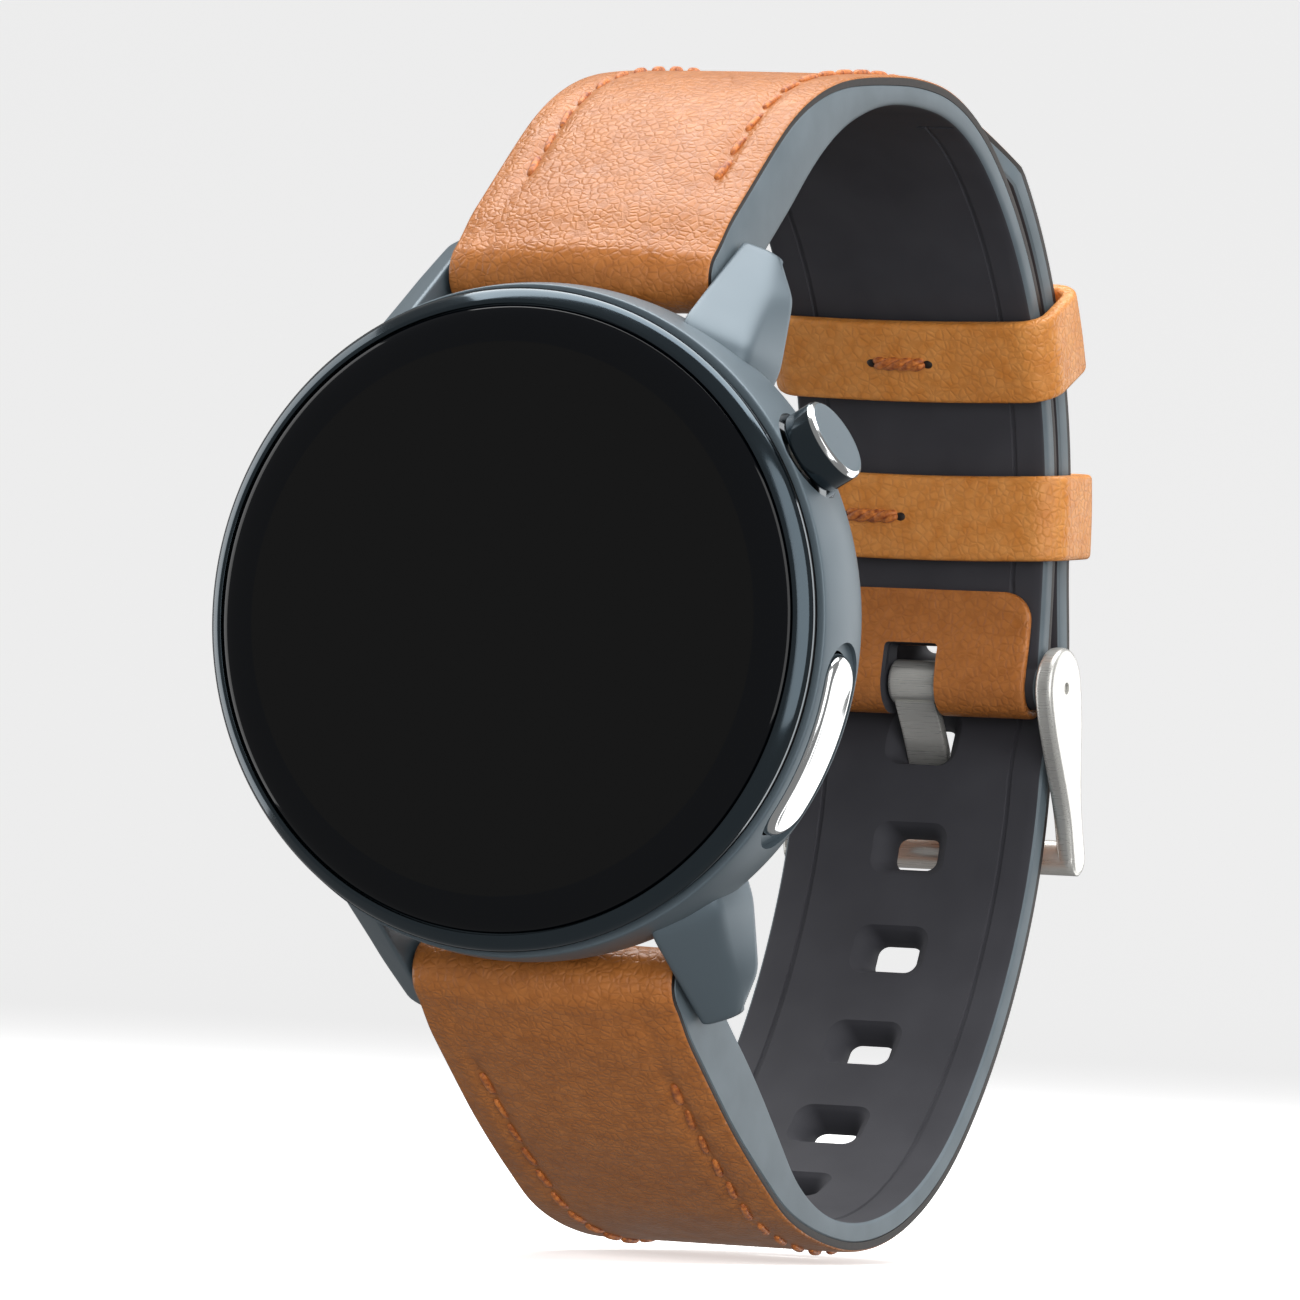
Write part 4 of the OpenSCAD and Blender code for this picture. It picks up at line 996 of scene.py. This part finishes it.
# The arm's outline: a round boss that narrows to the crossbar, its width eased along its length
def armOutline():
    reach = np.array(buckle["reach"])
    length = np.linalg.norm(reach)
    d = reach / length
    n = np.array([-d[1], d[0]])
    t = np.linspace(0, 1, 30)
    half = buckle["cross"] + (buckle["boss"] - buckle["cross"]) * (1 - ease(np.clip((t - 0.02) / 0.8, 0, 1)))
    side = np.stack([t * length, half], -1)
    cap = np.linspace(-np.pi / 2, -3 * np.pi / 2, 21)[1:-1]
    boss = np.stack([buckle["boss"] * np.cos(cap), buckle["boss"] * np.sin(cap)], -1)
    foot = np.linspace(np.pi / 2, -np.pi / 2, 15)[1:-1]
    end = np.stack([length + buckle["cross"] * np.cos(foot), buckle["cross"] * np.sin(foot)], -1)
    flatLoop = np.vstack([side, end, side[::-1] * [1, -1], boss])
    return buckleBar + flatLoop[:, :1] * d + flatLoop[:, 1:] * n


# Two plates on the arm's outline, each with a round hole for the bar, and a round rod between them
def makeBuckle():
    made = []
    inner = backHalf + buckle["gap"]
    count = buckle["sides"]
    turn = np.linspace(0, 2 * np.pi, count, endpoint=False)
    circle = np.stack([np.cos(turn), np.sin(turn)], -1)
    pinX = np.broadcast_to(np.array([-14.0, 14.0])[:, None, None], (2, count, 1))  # past both arms
    pinWall = np.broadcast_to(buckleBar + buckle["pin"] * circle, (2, count, 2))
    pinCutter = skin("pinCutter", np.concatenate([pinX, pinWall], -1), [steel])
    loop, height = plateRows(armOutline(), buckle["arm"], buckle["rim"])
    for side in (-1, 1):
        grid = np.concatenate([side * (inner + height)[..., None], loop], -1)
        made.append(cut(skin(f"arm{side}", grid, [steel], sharp=60), pinCutter, 60))
    bpy.data.objects.remove(pinCutter)
    end = inner + buckle["arm"] - 0.1
    x = np.concatenate([[-end], np.linspace(0.1 - end, end - 0.1, 41), [end]])
    r = np.where(np.abs(x) > end - 0.05, 0.9, 1.0) * buckle["cross"]
    rod = buckleBar + np.array(buckle["reach"]) + r[:, None, None] * circle
    rodX = np.broadcast_to(x[:, None, None], (len(x), count, 1))
    made.append(skin("crossbar", np.concatenate([rodX, rod], -1), [steel], sharp=60))
    return joined("buckleFrame", made)


place(makeBuckle(), "buckle", "steel", "buckle_frame")

# The blade's start, bend and tip are measured from the bar
tongue = {"loopHalf": 1.95, "bladeHalf": 1.62, "loopOut": 1.65, "loopIn": 0.95, "thick": 0.85,
          "start": (-0.6, -1.2), "bend": (3.4, -5.95), "tip": (6.4, -13.15)}


# The loop is a short rounded tube on the bar; the blade is a flat strip along a smooth curve
def makeTongue():
    ring = softened([(tongue["loopIn"], -tongue["loopHalf"], 0.1), (tongue["loopOut"], -tongue["loopHalf"], 0.3),
                     (tongue["loopOut"], tongue["loopHalf"], 0.3), (tongue["loopIn"], tongue["loopHalf"], 0.1)])
    barAxes = ((0, buckleBar[0], buckleBar[1]), (1, 0, 0), (0, 1, 0), (0, 0, 1))
    loop = turned("tongueLoop", ring, [steel], barAxes, 64, sharp=60)
    start, bend, tip = (buckleBar + np.array(tongue[key]) for key in ("start", "bend", "tip"))
    path = np.vstack([start[None], curve(start, start + (bend - start) * 0.75, bend + (tip - bend) * 0.22, tip, 36)])
    d = np.gradient(path, axis=0)
    d /= np.linalg.norm(d, axis=1)[:, None]
    n = np.stack([-d[:, 1], d[:, 0]], -1)
    t = np.linspace(0, 1, len(path))
    thick = tongue["thick"] * np.clip(np.sqrt(np.clip((1.003 - t) * 30, 0, 1)), 0.1, 1)
    half = tongue["bladeHalf"] * np.sqrt(np.clip(1.03 - np.clip((t - 0.86) / 0.14, 0, 1) ** 3, 0.2, 1))
    section = softened([(1, -1, 0.2), (1, 1, 0.2), (-1, 1, 0.2), (-1, -1, 0.2)])
    x = half[:, None] * section[None, :, 0]
    h = thick[:, None] / 2 * section[None, :, 1]
    yz = path[:, None] + n[:, None] * h[..., None]
    blade = skin("tongueBlade", np.concatenate([x[..., None], yz], -1), [steel], sharp=50)
    return joined("buckleTongue", [loop, blade])


place(makeTongue(), "tongue", "steel", "buckle_tongue")
print("buckle made")


# Metres, apart from the drop of the floor below the strap, which is in millimetres
stage = {"drop": 0.4, "back": 2.2, "front": -2.4, "side": 2.6, "high": 2.4, "bend": 0.6}
floorLevel = cadBox[0].z - stage["drop"] * mm


# A floor that curves up into a backdrop: their join is a quarter circle with the radius bend
def makeStage():
    turn = np.linspace(0, np.pi / 2, 16)
    curved = stage["back"] - stage["bend"] * (1 - np.sin(turn))
    y = np.concatenate([[stage["front"]], curved, [stage["back"]]])
    z = floorLevel + np.concatenate([[0], stage["bend"] * (1 - np.cos(turn)), [stage["high"]]])
    x = np.array([-stage["side"], stage["side"]])
    points = np.stack([np.broadcast_to(x[None], (len(y), 2)), np.broadcast_to(y[:, None], (len(y), 2)),
                       np.broadcast_to(z[:, None], (len(y), 2))], -1).reshape(-1, 3)
    k = np.arange(len(y) - 1) * 2
    mesh = bpy.data.meshes.new("backdrop")
    mesh.from_pydata(points.tolist(), [], np.stack([k, k + 1, k + 3, k + 2], -1).tolist())
    mesh.shade_smooth()
    glow = {"Emission_Color": (1, 1, 1, 1), "Emission_Strength": 0.55}
    mesh.materials.append(newMaterial("paperBackdrop", "#FFFFFF", 0.9, **glow)[0])  # matt white paper, evenly lit
    backdrop = bpy.data.objects.new("backdrop", mesh)
    bpy.context.scene.collection.objects.link(backdrop)
    backdrop.visible_diffuse = False
    backdrop.visible_glossy = False


def addLight(name, spot, aim, size, power):
    data = bpy.data.lights.new(name, "AREA")
    data.shape = "RECTANGLE"
    data.size, data.size_y = size
    data.energy = power
    made = bpy.data.objects.new(name, data)
    bpy.context.scene.collection.objects.link(made)
    made.location = spot
    direction = np.array(aim) - np.array(spot)
    made.rotation_euler = Vector(direction).to_track_quat("-Z", "Y").to_euler()
    return made


# Each light's place and the spot it aims at in metres, its width and height in metres, its power in watts
lights = {
    "top": ((0.0, 0.16, 0.62), (0, 0.02, 0), (0.9, 0.6), 8.5),
    "right": ((0.62, -0.25, 0.12), (0, 0.02, 0), (0.45, 0.8), 2.5),
    "left": ((-0.65, 0.0, 0.1), (0, 0.02, 0), (0.45, 0.8), 2.0),
    "front": ((0.36, -0.82, 0.0), (0, 0.0, 0), (0.9, 0.7), 6.0),
    "rear": ((0.42, 0.80, -0.05), (0, 0.02, 0), (0.6, 1.1), 4.0),
}
makeStage()
for name, values in lights.items():
    lamp = addLight(name, *values)
    lamp.visible_glossy = name != "front"  # the front fill leaves no reflection in the glass
world = bpy.data.worlds.new("studio")
world.use_nodes = True
world.node_tree.nodes["Background"].inputs[0].default_value = (1, 1, 1, 1)
world.node_tree.nodes["Background"].inputs[1].default_value = 0.26
bpy.context.scene.world = world
bpy.context.scene.view_settings.view_transform = "Standard"
bpy.context.scene.view_settings.look = "None"

# Millimetres and degrees; viewWide is what the picture takes in across at the target's distance,
# and the shift is the part of that width by which the target sits off the middle
camera = {"target": (0, -10.5, 0), "azimuth": 25.5, "elevation": -1.5, "roll": 3.0, "distance": 800.0,
          "viewWide": 89.4085, "shift": (0.110769, -0.023846)}


def makeCamera():
    az, el, roll = (math.radians(camera[k]) for k in ("azimuth", "elevation", "roll"))
    back = Vector((math.sin(az) * math.cos(el), -math.cos(az) * math.cos(el), math.sin(el)))
    right = Vector((math.cos(az), math.sin(az), 0))
    up = back.cross(right)
    turnedRight = right * math.cos(roll) + up * math.sin(roll)
    turnedUp = up * math.cos(roll) - right * math.sin(roll)
    spot = (Vector(camera["target"]) + back * camera["distance"]) * mm
    data = bpy.data.cameras.new("camera")
    data.sensor_width = 36
    data.lens = camera["distance"] / camera["viewWide"] * data.sensor_width
    data.shift_x, data.shift_y = camera["shift"]
    data.clip_start = 0.05
    data.clip_end = 20
    made = bpy.data.objects.new("camera", data)
    bpy.context.scene.collection.objects.link(made)
    made.matrix_world = Matrix.Translation(spot) @ Matrix((turnedRight, turnedUp, back)).transposed().to_4x4()
    bpy.context.scene.camera = made


makeCamera()
print("stage made")
